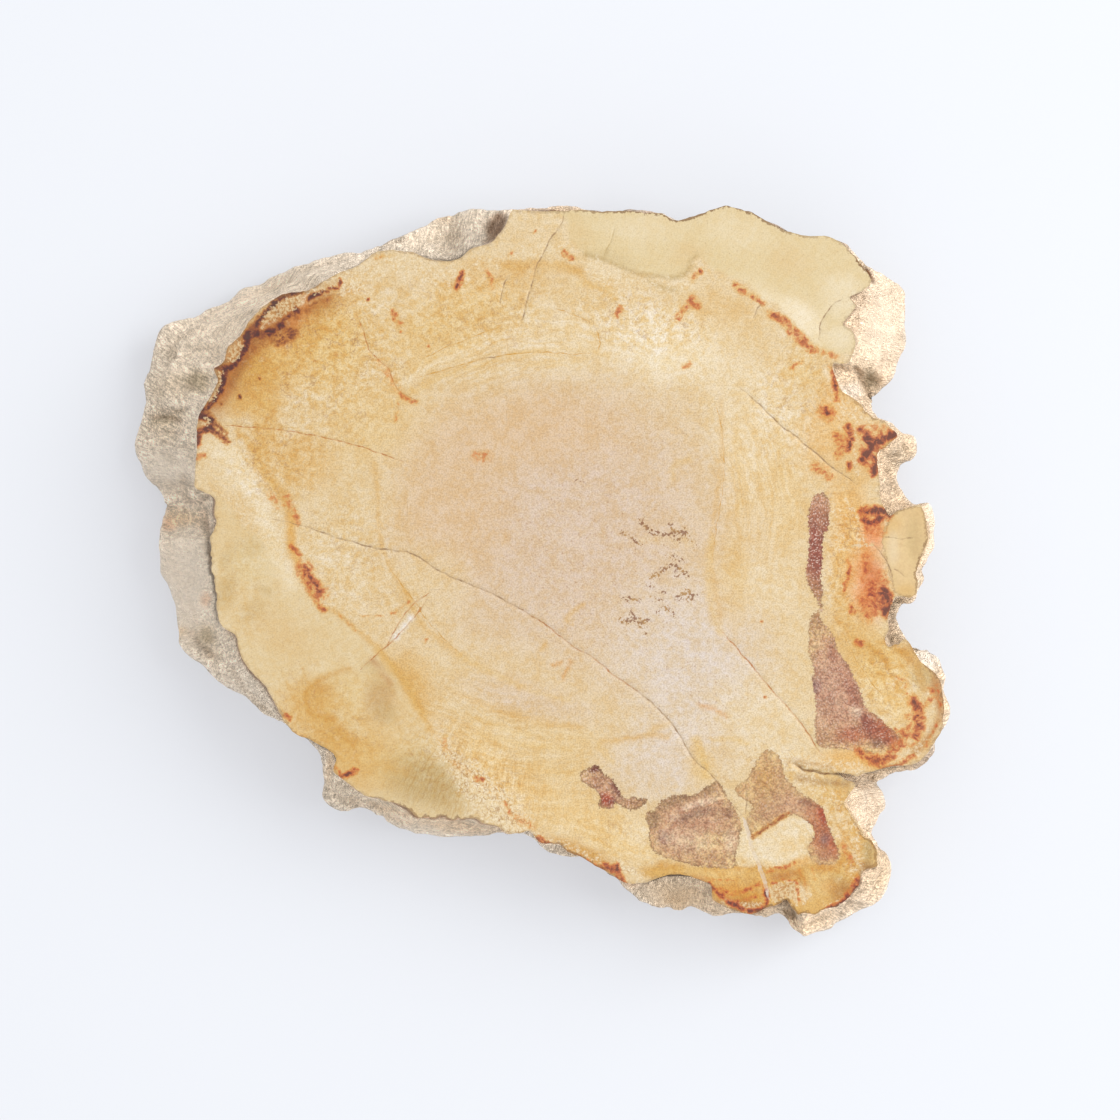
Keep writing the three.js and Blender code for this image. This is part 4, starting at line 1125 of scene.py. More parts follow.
DENDRITES = [
    (5, 1, 641, 521, 646, 527, 654, 533, 665, 535, 675, 533, 683, 531, 687, 535),
    (5, 0.85, 669, 523, 675, 533, 679, 541), (5, 0.7, 683, 535, 690, 541, 696, 546),
    (4, 0.8, 620, 531, 627, 536, 635, 541, 643, 546),
    (5, 0.95, 652, 577, 660, 573, 666, 568, 674, 565, 681, 569, 687, 575), (5, 0.8, 674, 565, 678, 575),
    (5, 0.75, 669, 556, 683, 560), (5, 0.6, 646, 585, 655, 588, 665, 592),
    (5, 1, 677, 598, 687, 592, 694, 596, 688, 600), (5, 0.85, 623, 600, 631, 598, 638, 600),
    (5, 1, 620, 620, 627, 622, 635, 619, 640, 623, 649, 620), (5, 0.85, 631, 611, 635, 619, 640, 626),
    (5, 0.8, 665, 607, 671, 611, 674, 616), (5, 0.7, 657, 613, 659, 611), (4, 0.8, 643, 634, 648, 635),
    (5, 0.55, 650, 598, 656, 600, 662, 600), (4, 0.55, 576, 480, 585, 482), (4, 0.5, 516, 254, 521, 250),
]
OPEN_GRAIN = [
    (600, 560, 190, 170, 1, 20), (700, 700, 140, 110, 0.9, 45), (640, 440, 150, 90, 0.7),
    (460, 560, 90, 110, 0.55),
]
RINGED = [
    (500, 355, 150, 60, 1, -10), (760, 480, 70, 130, 0.9), (500, 740, 160, 80, 0.9, 30),
    (400, 560, 60, 130, 0.5), (330, 440, 90, 90, 0.3),
]
STRIATED = [
    (490, 780, 120, 60, 1, 25), (760, 880, 110, 40, 0.9), (430, 790, 70, 40, 0.9, 20),
    (620, 800, 90, 60, 0.4),
]

crumbs = strokes(drifted, CRUMBS, soft=0.7)
dendrites = strokes(face_places, DENDRITES)
pores = amount(drifted, OPEN_GRAIN, 0.2)
ringed = amount(drifted, RINGED, 0.12)
striated = amount(drifted, STRIATED, 0.1)
VEINED = [
    (330, 350, 140, 130, 1, -30), (470, 310, 140, 70, 0.8, -5), (280, 450, 80, 80, 0.9),
    (350, 560, 80, 110, 0.6, -20), (640, 320, 120, 50, 0.8, 10), (800, 400, 80, 110, 0.7),
    (845, 560, 40, 120, 1), (885, 680, 60, 80, 0.9, -20), (460, 770, 140, 60, 0.8, 30),
    (620, 840, 120, 40, 0.5, 15), (840, 830, 60, 90, 1, -10), (790, 770, 80, 30, 0.8, 10),
    (330, 720, 110, 90, 0.62, 35), (240, 590, 50, 120, 0.42, 10),
]
veined = amount(drifted, VEINED, 0.18) * (1 - 0.85 * in_cap) * (1 - 0.15 * in_shoulder)
RIM_CRUST = [
    (230, 380, 60, 80, 0.6), (300, 300, 80, 50, 0.6, -30), (420, 262, 90, 26, 0.5),
    (690, 212, 230, 50, 0.95, 5), (858, 262, 26, 26, 1), (215, 560, 40, 130, 0.35),
    (290, 720, 70, 70, 0.45, 45), (430, 810, 110, 40, 0.7, 15), (580, 855, 80, 40, 0.75, 20),
    (780, 905, 100, 30, 0.8), (870, 850, 50, 70, 0.6), (905, 550, 46, 70, 0.8), (925, 700, 50, 80, 0.75),
    (860, 430, 60, 60, 0.6),
]
rim_crust = amount(face_places, RIM_CRUST, 0.3)
RIM_REACH = 64.0
rim_gap, _ = gap_to(on_chart(np.vstack([rim, rim[:1]])), face_places, RIM_REACH)
mottled = 1 - 0.7 * np.maximum(in_cap, 0.75 * in_shoulder)


def growth_at(places, drift):
    """Which way a place lies from the heart, as cosine and sine, and its ring's radius in mm."""
    from_heart = (places + 0.6 * drift - HEART_PLACE) / HEART_RADII
    angle = np.arctan2(from_heart[:, 1], from_heart[:, 0])
    radius = np.hypot(*from_heart.T) * HEART_RADII.mean() * CHART_UNIT / MM
    return np.column_stack([np.cos(angle), np.sin(angle), radius])


growth = growth_at(face_places, drift)
print(len(CRUMBS), "crumbly strips,", len(DENDRITES), "dendrites")

# %% [markdown]
# Each crack line is drawn by the finish from one number: how far a point lies inside
# the crack. That is exact here, because the net has a row of points along each crack's
# middle. A second colour says what fills the crack: dirt, rust or pale silica. One
# stretch of the long crack is rusty.

# %% Crack fill
CRACK_REACH = 6.0
crack_depth = np.full(len(face_places), -CRACK_REACH)
crack_fill = np.tile(TONES["seam brown"], (len(face_places), 1))
for crack, path in crack_paths.items():
    gap, along = gap_to(path, face_places, CRACK_REACH)
    depth = np.where(gap < CRACK_REACH, tapered(CRACKS[crack][0], along) - gap, -CRACK_REACH)
    nearer = depth > crack_depth
    crack_depth[nearer] = depth[nearer]
    crack_fill[nearer] = TONES[CRACKS[crack][2]]
RUSTY_STRETCH = [
    (610, 672, 46, 20, 1, 40), (560, 636, 60, 20, 0.8, 35),
]
crack_fill += (TONES["burnt"] - crack_fill) * amount(face_places, RUSTY_STRETCH)[:, None]
hole_place, hole_radius, hole_depth = HOLE
in_hole = oval(face_places, hole_place, (1.6 * hole_radius, 1.6 * hole_radius), soft=0.7)
face_z = face_z - in_hole * hole_depth * MM
crack_depth = np.maximum(crack_depth, (hole_radius - np.hypot(*(face_places - hole_place).T)))
print("cracks drawn on", int((crack_depth > 0).sum()), "points")

# %% [markdown]
# The rind's colours are washes too, placed where the camera sees them: grey on the
# left, cream and peach on the right, with darker hollows and a grey chip at the top.
# Thin dark lines just under the rim, where the wall turns down, are painted shade,
# partly a dark crust too. What the camera can't see takes the colour of the last point
# that shows in the same column. A rim line has its two ends, a tone, a width and a strength.

# %% Colours of the rind
RIND_CLOUDS = [
    (240, 320, 150, 70, "warm rind", 0.9, -35), (400, 235, 60, 30, "warm rind", 0.7, -20),
    (178, 385, 40, 20, "slate", 0.85, -10), (200, 380, 18, 16, "moss", 0.8),
    (165, 425, 36, 26, "slate", 0.7, -20), (165, 418, 26, 8, "moss", 0.6, -20),
    (160, 468, 40, 26, "grey rind", 0.8), (180, 518, 36, 16, "earth", 0.5), (166, 525, 12, 12, "rose", 0.6),
    (205, 525, 10, 20, "bark", 0.35), (185, 580, 34, 56, "grey rind", 0.7), (206, 636, 14, 18, "moss", 0.8),
    (210, 652, 14, 10, "slate", 0.6, 30), (205, 600, 8, 12, "rose", 0.5),
    (235, 690, 34, 44, "grey rind", 0.6, 40), (180, 632, 10, 10, "earth", 0.5),
    (345, 790, 30, 26, "warm rind", 0.8, 10), (330, 765, 8, 26, "shell", 0.8),
    (400, 812, 60, 14, "earth", 0.3, 10), (400, 805, 20, 10, "slate", 0.5, 20),
    (460, 826, 60, 14, "shell", 0.6, 8), (452, 232, 46, 26, "pearl", 0.8, -5),
    (440, 218, 24, 8, "shell", 0.7), (450, 240, 30, 4, "slate", 0.4), (440, 250, 30, 8, "pearl", 0.7),
    (494, 226, 12, 22, "bark", 0.7, 15), (500, 216, 8, 10, "bark", 0.5), (560, 208, 90, 8, "shell", 0.9),
    (740, 206, 40, 8, "shell", 0.9), (885, 320, 40, 80, "peach", 1), (870, 380, 12, 18, "moss", 0.85),
    (850, 392, 18, 14, "bone", 0.7), (907, 308, 6, 16, "orange", 0.5), (903, 334, 6, 16, "slate", 0.6),
    (895, 465, 34, 44, "shell", 0.9), (890, 500, 24, 20, "shell", 0.8), (896, 458, 20, 22, "slate", 0.6),
    (888, 488, 12, 22, "slate", 0.45), (932, 540, 16, 60, "peach", 1), (893, 612, 14, 24, "slate", 0.55),
    (895, 640, 16, 16, "moss", 0.5), (930, 658, 22, 22, "bone", 0.8), (945, 710, 14, 60, "shell", 0.8),
    (905, 770, 50, 16, "shell", 0.7), (872, 805, 26, 36, "peach", 0.9),
    (882, 860, 30, 50, "shell", 0.9, 20), (850, 910, 46, 24, "peach", 0.7, -30),
    (815, 925, 36, 16, "shell", 0.6), (800, 915, 14, 14, "slate", 0.5), (676, 897, 46, 22, "earth", 0.45),
    (730, 915, 30, 12, "slate", 0.6), (650, 900, 24, 12, "warm rind", 0.5, 20),
    (590, 868, 50, 12, "moss", 0.5, 20),
]
# Painted shade under the rim's lip where the wall turns down, partly a dark crust.
RIM_SHADE_AND_CRUST_LINES = [
    ((214, 530), (218, 628), "shade under rim", 6, 0.8), ((205, 495), (214, 530), "bark", 5, 0.7),
    ((222, 634), (285, 725), "bark", 4, 0.75), ((285, 725), (335, 768), "shade under rim", 5, 0.75),
    ((335, 778), (540, 835), "bark", 4, 0.8), ((540, 840), (640, 884), "bark", 5, 0.85),
    ((642, 882), (712, 896), "shade under rim", 5, 1.0), ((712, 896), (790, 915), "bark", 4, 0.6),
    ((372, 262), (310, 290), "shade under rim", 5, 0.6), ((480, 244), (412, 250), "shade under rim", 4, 0.7),
    ((505, 212), (480, 244), "bark", 10, 0.7), ((665, 214), (505, 212), "bark", 4, 1.0),
    ((880, 262), (665, 214), "bark", 4, 0.9), ((872, 285), (860, 262), "bark", 6, 1.0),
    ((860, 350), (868, 290), "bark", 3, 0.6), ((918, 596), (922, 507), "earth", 3, 0.8),
    ((948, 700), (925, 645), "earth", 4, 0.7), ((900, 768), (948, 712), "bark", 3, 0.6),
    ((862, 778), (900, 768), "shade under rim", 4, 0.6), ((878, 868), (858, 800), "olive", 4, 0.6),
    ((820, 912), (878, 868), "bark", 4, 0.7),
]

shown_row = np.argmax(np.hypot(*(rind_places - EYE_PLACE).T).reshape(COLUMNS, ROWS), axis=1)
rind_places = to_chart(rind.reshape(-1, 3)).reshape(COLUMNS, ROWS, 2)
row_number = np.minimum(np.arange(ROWS)[None], shown_row[:, None])
rind_places = np.take_along_axis(rind_places, row_number[..., None], axis=1).reshape(-1, 2)
rind_drift = 4.0 * wander(rind_places, 16, 41) + 1.5 * wander(rind_places, 6, 43)
rind_wash = Coat(COLUMNS * ROWS, "warm rind")
eastern = soft_step(rind_places[:, 0], 480, 800)
rind_wash.lay(1 - eastern, "grey rind", 0.6)
rind_wash.lay(eastern, "shell", 0.7)
rind_wash.lay_clouds(rind_places + rind_drift, RIND_CLOUDS)

rind_chart = rind_places.reshape(COLUMNS, ROWS, 2)
rim_chart = to_chart(rind[:, 0])
seen_out = np.hypot(*(rind_chart - rim_chart[:, None]).transpose(2, 0, 1))
uneven = 0.75 + 0.5 * lumps(rim_run, 0.8, 45)
# Lays the painted shade lines, partly dark crust, just under the rim.
for start, end, tone, width, strength in RIM_SHADE_AND_CRUST_LINES:
    first = int(np.argmin(np.hypot(*(rim_chart - start).T)))
    last = int(np.argmin(np.hypot(*(rim_chart - end).T)))
    if (last - first) % COLUMNS > (first - last) % COLUMNS:
        first, last = last, first
    count = (last - first) % COLUMNS + 1
    stretch = np.zeros(COLUMNS)
    swell = np.sin(np.linspace(0, np.pi, count)) ** 0.35
    stretch[(first + np.arange(count)) % COLUMNS] = swell
    mask = stretch[:, None] * (1 - soft_step(seen_out, 0.3 * width, (width * uneven)[:, None] + 0.5))
    rind_wash.lay(mask.ravel(), tone, strength)
print(len(RIND_CLOUDS), "rind clouds,", len(RIM_SHADE_AND_CRUST_LINES), "rim lines")

# %% [markdown]
# A painted highlight runs along the rind's outer edge where the camera sees it, and
# painted shade darkens its creases. The steep rind gets less light than the face, least
# of all on the left and at the bottom, so its paint is made brighter there, up to the
# palest that stone can be.

# %% Brightness of the rind
RIND_GAIN, PALEST = np.array([2.16, 2.08, 2.03]), 0.96
WEST_GAIN, SOUTH_GAIN = 0.38, 0.34
# A painted highlight, uneven along its length, on the rind's outer edge as the camera sees it.
edge_places = np.take_along_axis(rind_chart, shown_row[:, None, None], axis=1)
edge_gap = np.hypot(*(rind_chart - edge_places).transpose(2, 0, 1))
edge_highlight = (1 - soft_step(edge_gap, 1.0, 4.5)) * (0.6 + 0.8 * lumps(rim_run, 1.6, 46))[:, None]
rind_wash.lay(edge_highlight.ravel(), "bone", 0.45)
# Painted shade in the creases of the rind.
rind_wash.lay(creases, "bark", 0.34)
southern = soft_step(rind_places[:, 1], 720, 820) * (1 - soft_step(rind_places[:, 0], 740, 840))
rind_wash.colour *= RIND_GAIN * (1 + WEST_GAIN * (1 - eastern) + SOUTH_GAIN * southern)[:, None]
rind_wash.colour *= PALEST / np.maximum(rind_wash.colour.max(axis=1, keepdims=True), PALEST)
print("rind paint, mean:", rind_wash.colour.mean(axis=0).round(2))

# %% [markdown]
# Now everything is joined in one closed mesh. The rim belongs to the face and the rind
# at once, and so does the foot for the underside. The rim is marked sharp, so that the
# polished face stays flat to the light right up to its edge.

# %% One mesh
rind_count = COLUMNS * ROWS
rind_index = np.arange(rind_count).reshape(COLUMNS, ROWS)
face_index = np.concatenate([rind_index[:, 0], rind_count + np.arange(len(face_xy) - COLUMNS)])
under_start = rind_count + len(face_xy) - COLUMNS
under_index = np.concatenate([rind_index[:, -1], under_start + np.arange(len(under_xy) - COLUMNS)])
vertices = np.vstack([
    rind.reshape(-1, 3),
    np.column_stack([face_xy, face_z])[COLUMNS:],
    np.column_stack([under_xy, np.full(len(under_xy), slice_low.z)])[COLUMNS:],
])


def facing(triangles, points, upward):
    """Triangles turned so that they all face up, or all down."""
    a, b, c = (points[triangles[:, k]] for k in range(3))
    turn = np.cross(b - a, c - a)
    wrong = (turn < 0) if upward else (turn > 0)
    triangles = triangles.copy()
    triangles[wrong] = triangles[wrong][:, ::-1]
    return triangles


here, ahead = rind_index, np.roll(rind_index, -1, axis=0)
rind_triangles = np.concatenate([
    np.stack([here[:, :-1], ahead[:, :-1], ahead[:, 1:]], axis=-1).reshape(-1, 3),
    np.stack([here[:, :-1], ahead[:, 1:], here[:, 1:]], axis=-1).reshape(-1, 3),
])
top_triangles = face_index[facing(face_triangles, face_xy, True)]
low_triangles = under_index[facing(under_triangles, under_xy, False)]
triangles = np.vstack([top_triangles, rind_triangles, low_triangles])
part_of = np.repeat([0, 1, 2], [len(top_triangles), len(rind_triangles), len(low_triangles)])

mesh = bpy.data.meshes.new("petrified_wood")
mesh.from_pydata(vertices.tolist(), [], triangles.tolist())
mesh.polygons.foreach_set("material_index", part_of.astype(np.int32))
mesh.polygons.foreach_set("use_smooth", np.ones(len(triangles), bool))
mesh.update()

checked = bmesh.new()
checked.from_mesh(mesh)
open_edges = sum(not edge.is_manifold for edge in checked.edges)
for edge in checked.edges:
    parts = {face.material_index for face in edge.link_faces}
    if len(parts) > 1:
        edge.smooth = False
volume = checked.calc_volume(signed=True)
checked.to_mesh(mesh)
checked.free()
stone = bpy.data.objects.new("petrified_wood", mesh)
bpy.context.scene.collection.objects.link(stone)
print("stone:", len(mesh.polygons), "triangles,", open_edges, "open edges,", round(volume * 1e6, 1), "cm3")

# %% [markdown]
# The colours and amounts go onto the mesh as named attributes, which the materials
# read. The face and the rind have their own names, because they share the rim's points
# and the colour must not run over the edge.

# %% Attributes
under_flat = on_chart(under_xy)
under_drift = 9 * wander(under_flat, 30, 51)
under_wash = Coat(len(under_flat), "cream")
under_wash.lay_clouds(under_flat + under_drift, CLOUDS)
under_rust = 0.7 * strokes(under_flat + under_drift, RUST, spare=5)


def on_mesh(kind, name, values, index, rest):
    """Stores values as a named attribute on some of the stone's points."""
    width = {"FLOAT": 1, "FLOAT_VECTOR": 3, "FLOAT_COLOR": 4}[kind]
    full = np.tile(np.asarray(rest, np.float32).reshape(1, -1), (len(vertices), 1))
    values = np.asarray(values, np.float32).reshape(len(index), -1)
    if width == 4:
        values = np.column_stack([values, np.ones(len(values), np.float32)])
        full = np.column_stack([full, np.ones(len(full), np.float32)])
    full[index] = values
    layer = mesh.attributes.new(name, kind, "POINT")
    field = {1: "value", 3: "vector", 4: "color"}[width]
    layer.data.foreach_set(field, full.astype(np.float32).ravel())


CREAM = TONES["cream"]
all_rind = rind_index.ravel()
for name, values in {
    "face_wash": wash.colour, "patch_wash": patch_wash.colour, "crack_fill": crack_fill,
}.items():
    on_mesh("FLOAT_COLOR", name, values, face_index, CREAM)
on_mesh("FLOAT_VECTOR", "growth", growth, face_index, (1, 0, 0))
for name, values, rest in (
    ("patch_depth", patch_depth, -PATCH_REACH), ("patch_dots", patch_dots, 0),
    ("patch_outline", patch_outline, 0), ("crack_depth", crack_depth, -CRACK_REACH),
    ("rust", rust, 0), ("rust_age", rust_age, 0), ("crumbs", crumbs, 0),
    ("dendrites", dendrites, 0), ("pores", pores, 0), ("ringed", ringed, 0),
    ("striated", striated, 0), ("mottled", mottled, 0.5), ("veined", veined, 0),
    ("rim_gap", rim_gap, RIM_REACH), ("rim_crust", rim_crust, 0),
    ("strip_depth", strip_depth, -STRIP_REACH),
):
    on_mesh("FLOAT", name, values, face_index, rest)
on_mesh("FLOAT_COLOR", "rind_wash", rind_wash.colour, all_rind, CREAM)
on_mesh("FLOAT_VECTOR", "rind_run", leaning, all_rind, (0, 0, 0))
for name, values in {
    "rind_hollow": hollowness, "rind_sugar": sugar, "rind_smooth": smoothness, "rind_lay": fibre_lay,
}.items():
    on_mesh("FLOAT", name, values.ravel(), all_rind, 0)
on_mesh("FLOAT_COLOR", "under_wash", under_wash.colour, under_index, CREAM)
on_mesh("FLOAT", "under_rust", under_rust, under_index, 0)
on_mesh("FLOAT_VECTOR", "under_growth", growth_at(under_flat, under_drift), under_index, (1, 0, 0))
print(len(mesh.attributes), "attributes on", len(vertices), "points")

# %% [markdown]
# A material is a tree of small nodes. Two helpers keep the tree readable. A wire is what
# one node gives out, and it adds and multiplies like a number. A finish is a material
# whose colour is built up in layers. Sizes are in millimetres, as on the stone.

# %% Helpers for materials
class Wire:
    """What a node gives out, with short ways to add nodes that reshape it."""

    def __init__(self, finish, socket):
        self.finish = finish
        self.socket = socket

    def join(self, operation, other, **settings):
        kind = "Math" if self.socket.type == "VALUE" else "VectorMath"
        return self.finish.node(kind, {0: self, 1: other}, operation=operation, **settings)

    def __add__(self, other):
        return self.join("ADD", other)

    def __sub__(self, other):
        return self.join("SUBTRACT", other)

    def __mul__(self, other):
        return self.join("MULTIPLY", other)

    def share(self, strength):
        """The wire times strength, kept between 0 and 1."""
        return self.join("MULTIPLY", strength, use_clamp=True)

    def rise(self, low, high, start=0.0, end=1.0):
        """Goes smoothly from start to end while the wire goes from low to high."""
        inputs = {"Value": self, "From Min": low, "From Max": high, "To Min": start, "To Max": end}
        return self.finish.node("MapRange", inputs, interpolation_type="SMOOTHSTEP")

    def swing(self, spread, reach=1.0, middle=0.5):
        """Goes from -reach to reach over the values within spread of the middle."""
        return self.rise(middle - spread, middle + spread, -reach, reach)

    def twin(self, output):
        """Another output of the same node."""
        return Wire(self.finish, self.socket.node.outputs[output])

    def luck(self):
        """A random number for each cell of a pattern of cells."""
        return self.finish.node("SeparateColor", {0: self.twin("Color")})


class Finish:
    """A material with a Principled shader, and the colour built up for it so far."""

    def __init__(self, name, wash, shine):
        self.material = bpy.data.materials.new(name)
        self.material.use_nodes = True
        self.tree = self.material.node_tree
        self.shader = self.tree.nodes["Principled BSDF"]
        self.feed(self.shader.inputs["Specular IOR Level"], shine)
        self.place = self.node("TexCoord", output="Object") * (1 / MM, 1 / MM, 1 / MM)
        self.colour = self.read(wash, "Color")

    def feed(self, socket, value):
        """Links a wire to a socket, or sets a plain value or colour on it."""
        if isinstance(value, Wire):
            self.tree.links.new(value.socket, socket)
        elif socket.type == "RGBA":
            socket.default_value = (*value, 1.0)
        else:
            socket.default_value = value

    def node(self, kind, inputs=(), output=0, **settings):
        """Adds a node, feeds it and hands back one of its outputs."""
        node = self.tree.nodes.new("ShaderNode" + kind)
        for key, value in settings.items():
            setattr(node, key, value)
        for key, value in dict(inputs).items():
            self.feed(node.inputs[key], value)
        return Wire(self, node.outputs[output])

    def read(self, name, output="Fac"):
        return self.node("Attribute", output=output, attribute_name=name)

    def noise(self, size, detail, place=None, output="Fac"):
        inputs = {"Vector": place or self.place, "Scale": 1 / size, "Detail": detail, "Roughness": 0.55}
        return self.node("TexNoise", inputs, output)

    def cells(self, size, place=None, crowd=1.0, **settings):
        inputs = {"Vector": place or self.place, "Scale": 1 / size, "Randomness": crowd}
        return self.node("TexVoronoi", inputs, "Distance", **settings)

    def blend(self, share, under, over, how="MIX"):
        return self.node("Mix", {0: share, 6: under, 7: over}, 2, data_type="RGBA", blend_type=how)

    def tinted(self, colour, value, strength, light, dark):
        """A colour made lighter where value is above 0, and darker where it is below."""
        colour = self.blend(value.share(strength), colour, light, "MULTIPLY")
        return self.blend(value.share(-strength), colour, dark, "MULTIPLY")

    def lay(self, share, over, how="MIX"):
        self.colour = self.blend(share, self.colour, over, how)

    def tint(self, value, strength, light, dark):
        self.colour = self.tinted(self.colour, value, strength, light, dark)

    def ramp(self, value, stops):
        """A colour that changes along stops of position, colour and share."""
        wire = self.node("ValToRGB", {0: value})
        points = wire.socket.node.color_ramp.elements
        while len(points) < len(stops):
            points.new(1.0)
        for point, (position, colour, alpha) in zip(points, stops):
            point.position = position
            point.color = (*colour, alpha)
        return wire

    def dress(self, rough, height, depth, strength):
        """Gives the shader its colour, its roughness and a bump finer than the mesh."""
        bump = self.node("Bump", {"Height": height, "Distance": depth, "Strength": strength})
        for name, value in {"Base Color": self.colour, "Roughness": rough, "Normal": bump}.items():
            self.feed(self.shader.inputs[name], value)
        print(self.material.name + ":", len(self.tree.nodes), "nodes")


def grey(value):
    """A neutral tint."""
    return (value, value, value)


# %% [markdown]
# The polished face. Its colour is built up in the order in which it formed: the broad
# wash, then growth rings and rays, mottling, open pores, patches, dendrites, crumbs,
# rust, and last the cracks. Each fine pattern has the size it has in the real stone,
# where the pores are half a millimetre apart.

# %% Finish of the polished face: rings and rays
LIGHTER, DARKER = (1.05, 1.10, 1.24), (0.96, 0.87, 0.68)
RAYS_ROUND, HAIR_RAYS_ROUND = 80.0, 230.0
HALF_GREY = (-0.5, -0.5, -0.5)

face = Finish("polished_face", "face_wash", 0.4)
veins_here, rings_here, mottle_here, rays_here = (
    face.read(name) for name in ("veined", "ringed", "mottled", "striated")
)
push = face.noise(2.0, 3, output="Color") + HALF_GREY
grow = face.read("growth", "Vector") + push * (0.02, 0.02, 1.1)
bent = face.place + push * (1.6, 1.6, 0)
rings = face.noise(0.5, 3, grow * (1.6, 1.6, 1.0)).swing(0.18)
face.tint(rings * rings_here, 0.8, LIGHTER, DARKER)
thin_rings = face.noise(0.17, 3, grow * (1.4, 1.4, 1.0)).swing(0.16)
face.tint(thin_rings * rings_here, 0.6, grey(1.05), (0.93, 0.86, 0.72))
rays = face.noise(1.0, 3, grow * (RAYS_ROUND, RAYS_ROUND, 0.5)).swing(0.2)
face.tint(rays * rays_here.rise(0, 1, 0.22, 0.7), 0.7, LIGHTER, DARKER)
hair_rays = face.noise(1.0, 3, grow * (HAIR_RAYS_ROUND, HAIR_RAYS_ROUND, 0.7)).swing(0.16)
face.tint(hair_rays * rays_here, 0.8, grey(1.08), (0.88, 0.79, 0.64))

# %% Finish of the face: mottling, stains and veins
cloudy = (face.noise(1.9, 5) + face.noise(0.6, 4)).swing(0.22, middle=1.0)
face.tint(cloudy * mottle_here, 0.62, LIGHTER, DARKER)
stains = face.noise(0.75, 5, bent).swing(0.14)
face.tint(stains * veins_here, 1.2, LIGHTER, DARKER)
small_stains = face.noise(0.36, 4, bent + (2.7, 8.3, 0)).swing(0.12)
face.tint(small_stains * veins_here, 0.7, LIGHTER, DARKER)
flecks, fleck_share = face.noise(0.8, 6), veins_here.rise(0, 1, 0.05, 0.5)
face.lay(flecks.rise(0.53, 0.76) * fleck_share, TONES["pale"])
face.lay(flecks.rise(0.46, 0.36) * fleck_share, DARKER, "MULTIPLY")

rim_far = face.read("rim_gap") * 0.1
beside_rim = bent * (0.16, 0.16, 0) + face.node("CombineXYZ", {2: rim_far})
bands = face.noise(0.55, 4, beside_rim).swing(0.14) * rim_far.rise(6.0, 3.0)
face.tint(bands * veins_here, 0.85, LIGHTER, DARKER)


def vein_lines(size, spread):
    """Thin winding lines, where smooth noise passes through its middle value."""
    off_middle = (face.noise(size, 3, bent) - 0.5).join("ABSOLUTE", 0.0)
    return off_middle.rise(spread, 0.2 * spread)


lines = vein_lines(2.6, 0.014).join("MAXIMUM", vein_lines(1.1, 0.02))
lines = lines * face.noise(1.4, 4).rise(0.45, 0.62)
face.lay(lines * veins_here * 0.5, TONES["wood brown"])

# %% Finish of the face: dust, specks and pores
dust = face.noise(0.15, 3).swing(0.14) * mottle_here.rise(0.3, 1.0, 0.5, 1.0)
face.tint(dust, 1.1, grey(1.09), grey(0.86))
fine_specks = face.noise(0.2, 2).rise(0.38, 0.31) * veins_here.rise(0, 1, 0.3, 0.5)
face.lay(fine_specks, TONES["seam brown"])

pores_here = face.read("pores")
pore_cell = face.cells(0.4, crowd=0.9)
pore = pore_cell.rise(0.34, 0.12) * pore_cell.luck().rise(0.25, 0.7) * pores_here
face.lay(pore * 0.42, TONES["wood brown"])
pale_pore = face.cells(0.34, face.place + (3.1, 7.7, 0)).rise(0.36, 0.12)
face.lay(pale_pore * pores_here * 0.36, TONES["glow"])

# %% Finish of the face: dendrites and crumbs
twigs = (face.read("dendrites") + face.noise(0.26, 4).swing(0.18, 0.55)).rise(0.62, 0.86)
twig_tone = face.blend(face.noise(1.3, 2).rise(0.42, 0.6), paint(134, 84, 56), paint(176, 128, 62))
face.lay(twigs * 0.8, twig_tone)

crumbs_here = face.read("crumbs")
wriggle = face.noise(0.35, 3, output="Color") + HALF_GREY
wriggled = face.place + wriggle * (0.55, 0.55, 0.3)
crumb_gap = face.cells(0.56, wriggled, feature="DISTANCE_TO_EDGE").rise(0.12, 0.0)
crumb_gap = crumb_gap * face.noise(0.6, 3).rise(0.4, 0.58) * crumbs_here.rise(0.55, 1.0, 0.3, 1.0)
crumb_pale = face.noise(0.26, 4, wriggled).rise(0.38, 0.6, 0.05, 0.85)
crumb = face.blend(crumb_pale, face.colour, TONES["glow"])
crumb = face.tinted(crumb, face.noise(0.14, 3).swing(0.12), 0.9, grey(1.06), (0.88, 0.82, 0.7))
crumb = face.blend(crumb_gap * 0.7, crumb, paint(172, 122, 68))
crumb_share = (crumbs_here + face.noise(0.5, 5).swing(0.2, 0.5)).rise(0.2, 0.9, 0.0, 0.86)
crumb_share = crumb_share * crumbs_here.rise(0.0, 0.15)
face.lay(crumb_share, crumb)

# %% Finish of the face: sharp-edged patches
patch_edge = face.read("patch_depth") + face.noise(0.26, 4).swing(0.2, 1.3)
patch_line = patch_edge.rise(-0.9, 0.1) * patch_edge.rise(2.2, 0.5) * face.read("patch_outline")
patch_line = patch_line * face.noise(0.9, 3).rise(0.36, 0.56, 0.35, 1.0)
dotted = face.read("patch_dots")
clotted = dotted.rise(0, 0.5, 0.12, 1.0)
bold = clotted * dotted.rise(0.6, 1.0, 1.0, 0.6)
blots = face.noise(0.8, 5).swing(0.14)
marbled = face.noise(0.42, 5, bent + (5.3, 2.1, 0)).swing(0.12)
sprinkle = face.noise(0.17, 3).swing(0.12)
patch = face.read("patch_wash", "Color")
patch = face.tinted(patch, blots * bold, 0.85, (1.1, 1.13, 1.14), (0.84, 0.76, 0.72))
patch = face.tinted(patch, marbled * bold, 0.95, (1.08, 1.14, 1.14), (0.86, 0.76, 0.74))
patch = face.tinted(patch, sprinkle * clotted, 1.0, grey(1.2), grey(0.72))

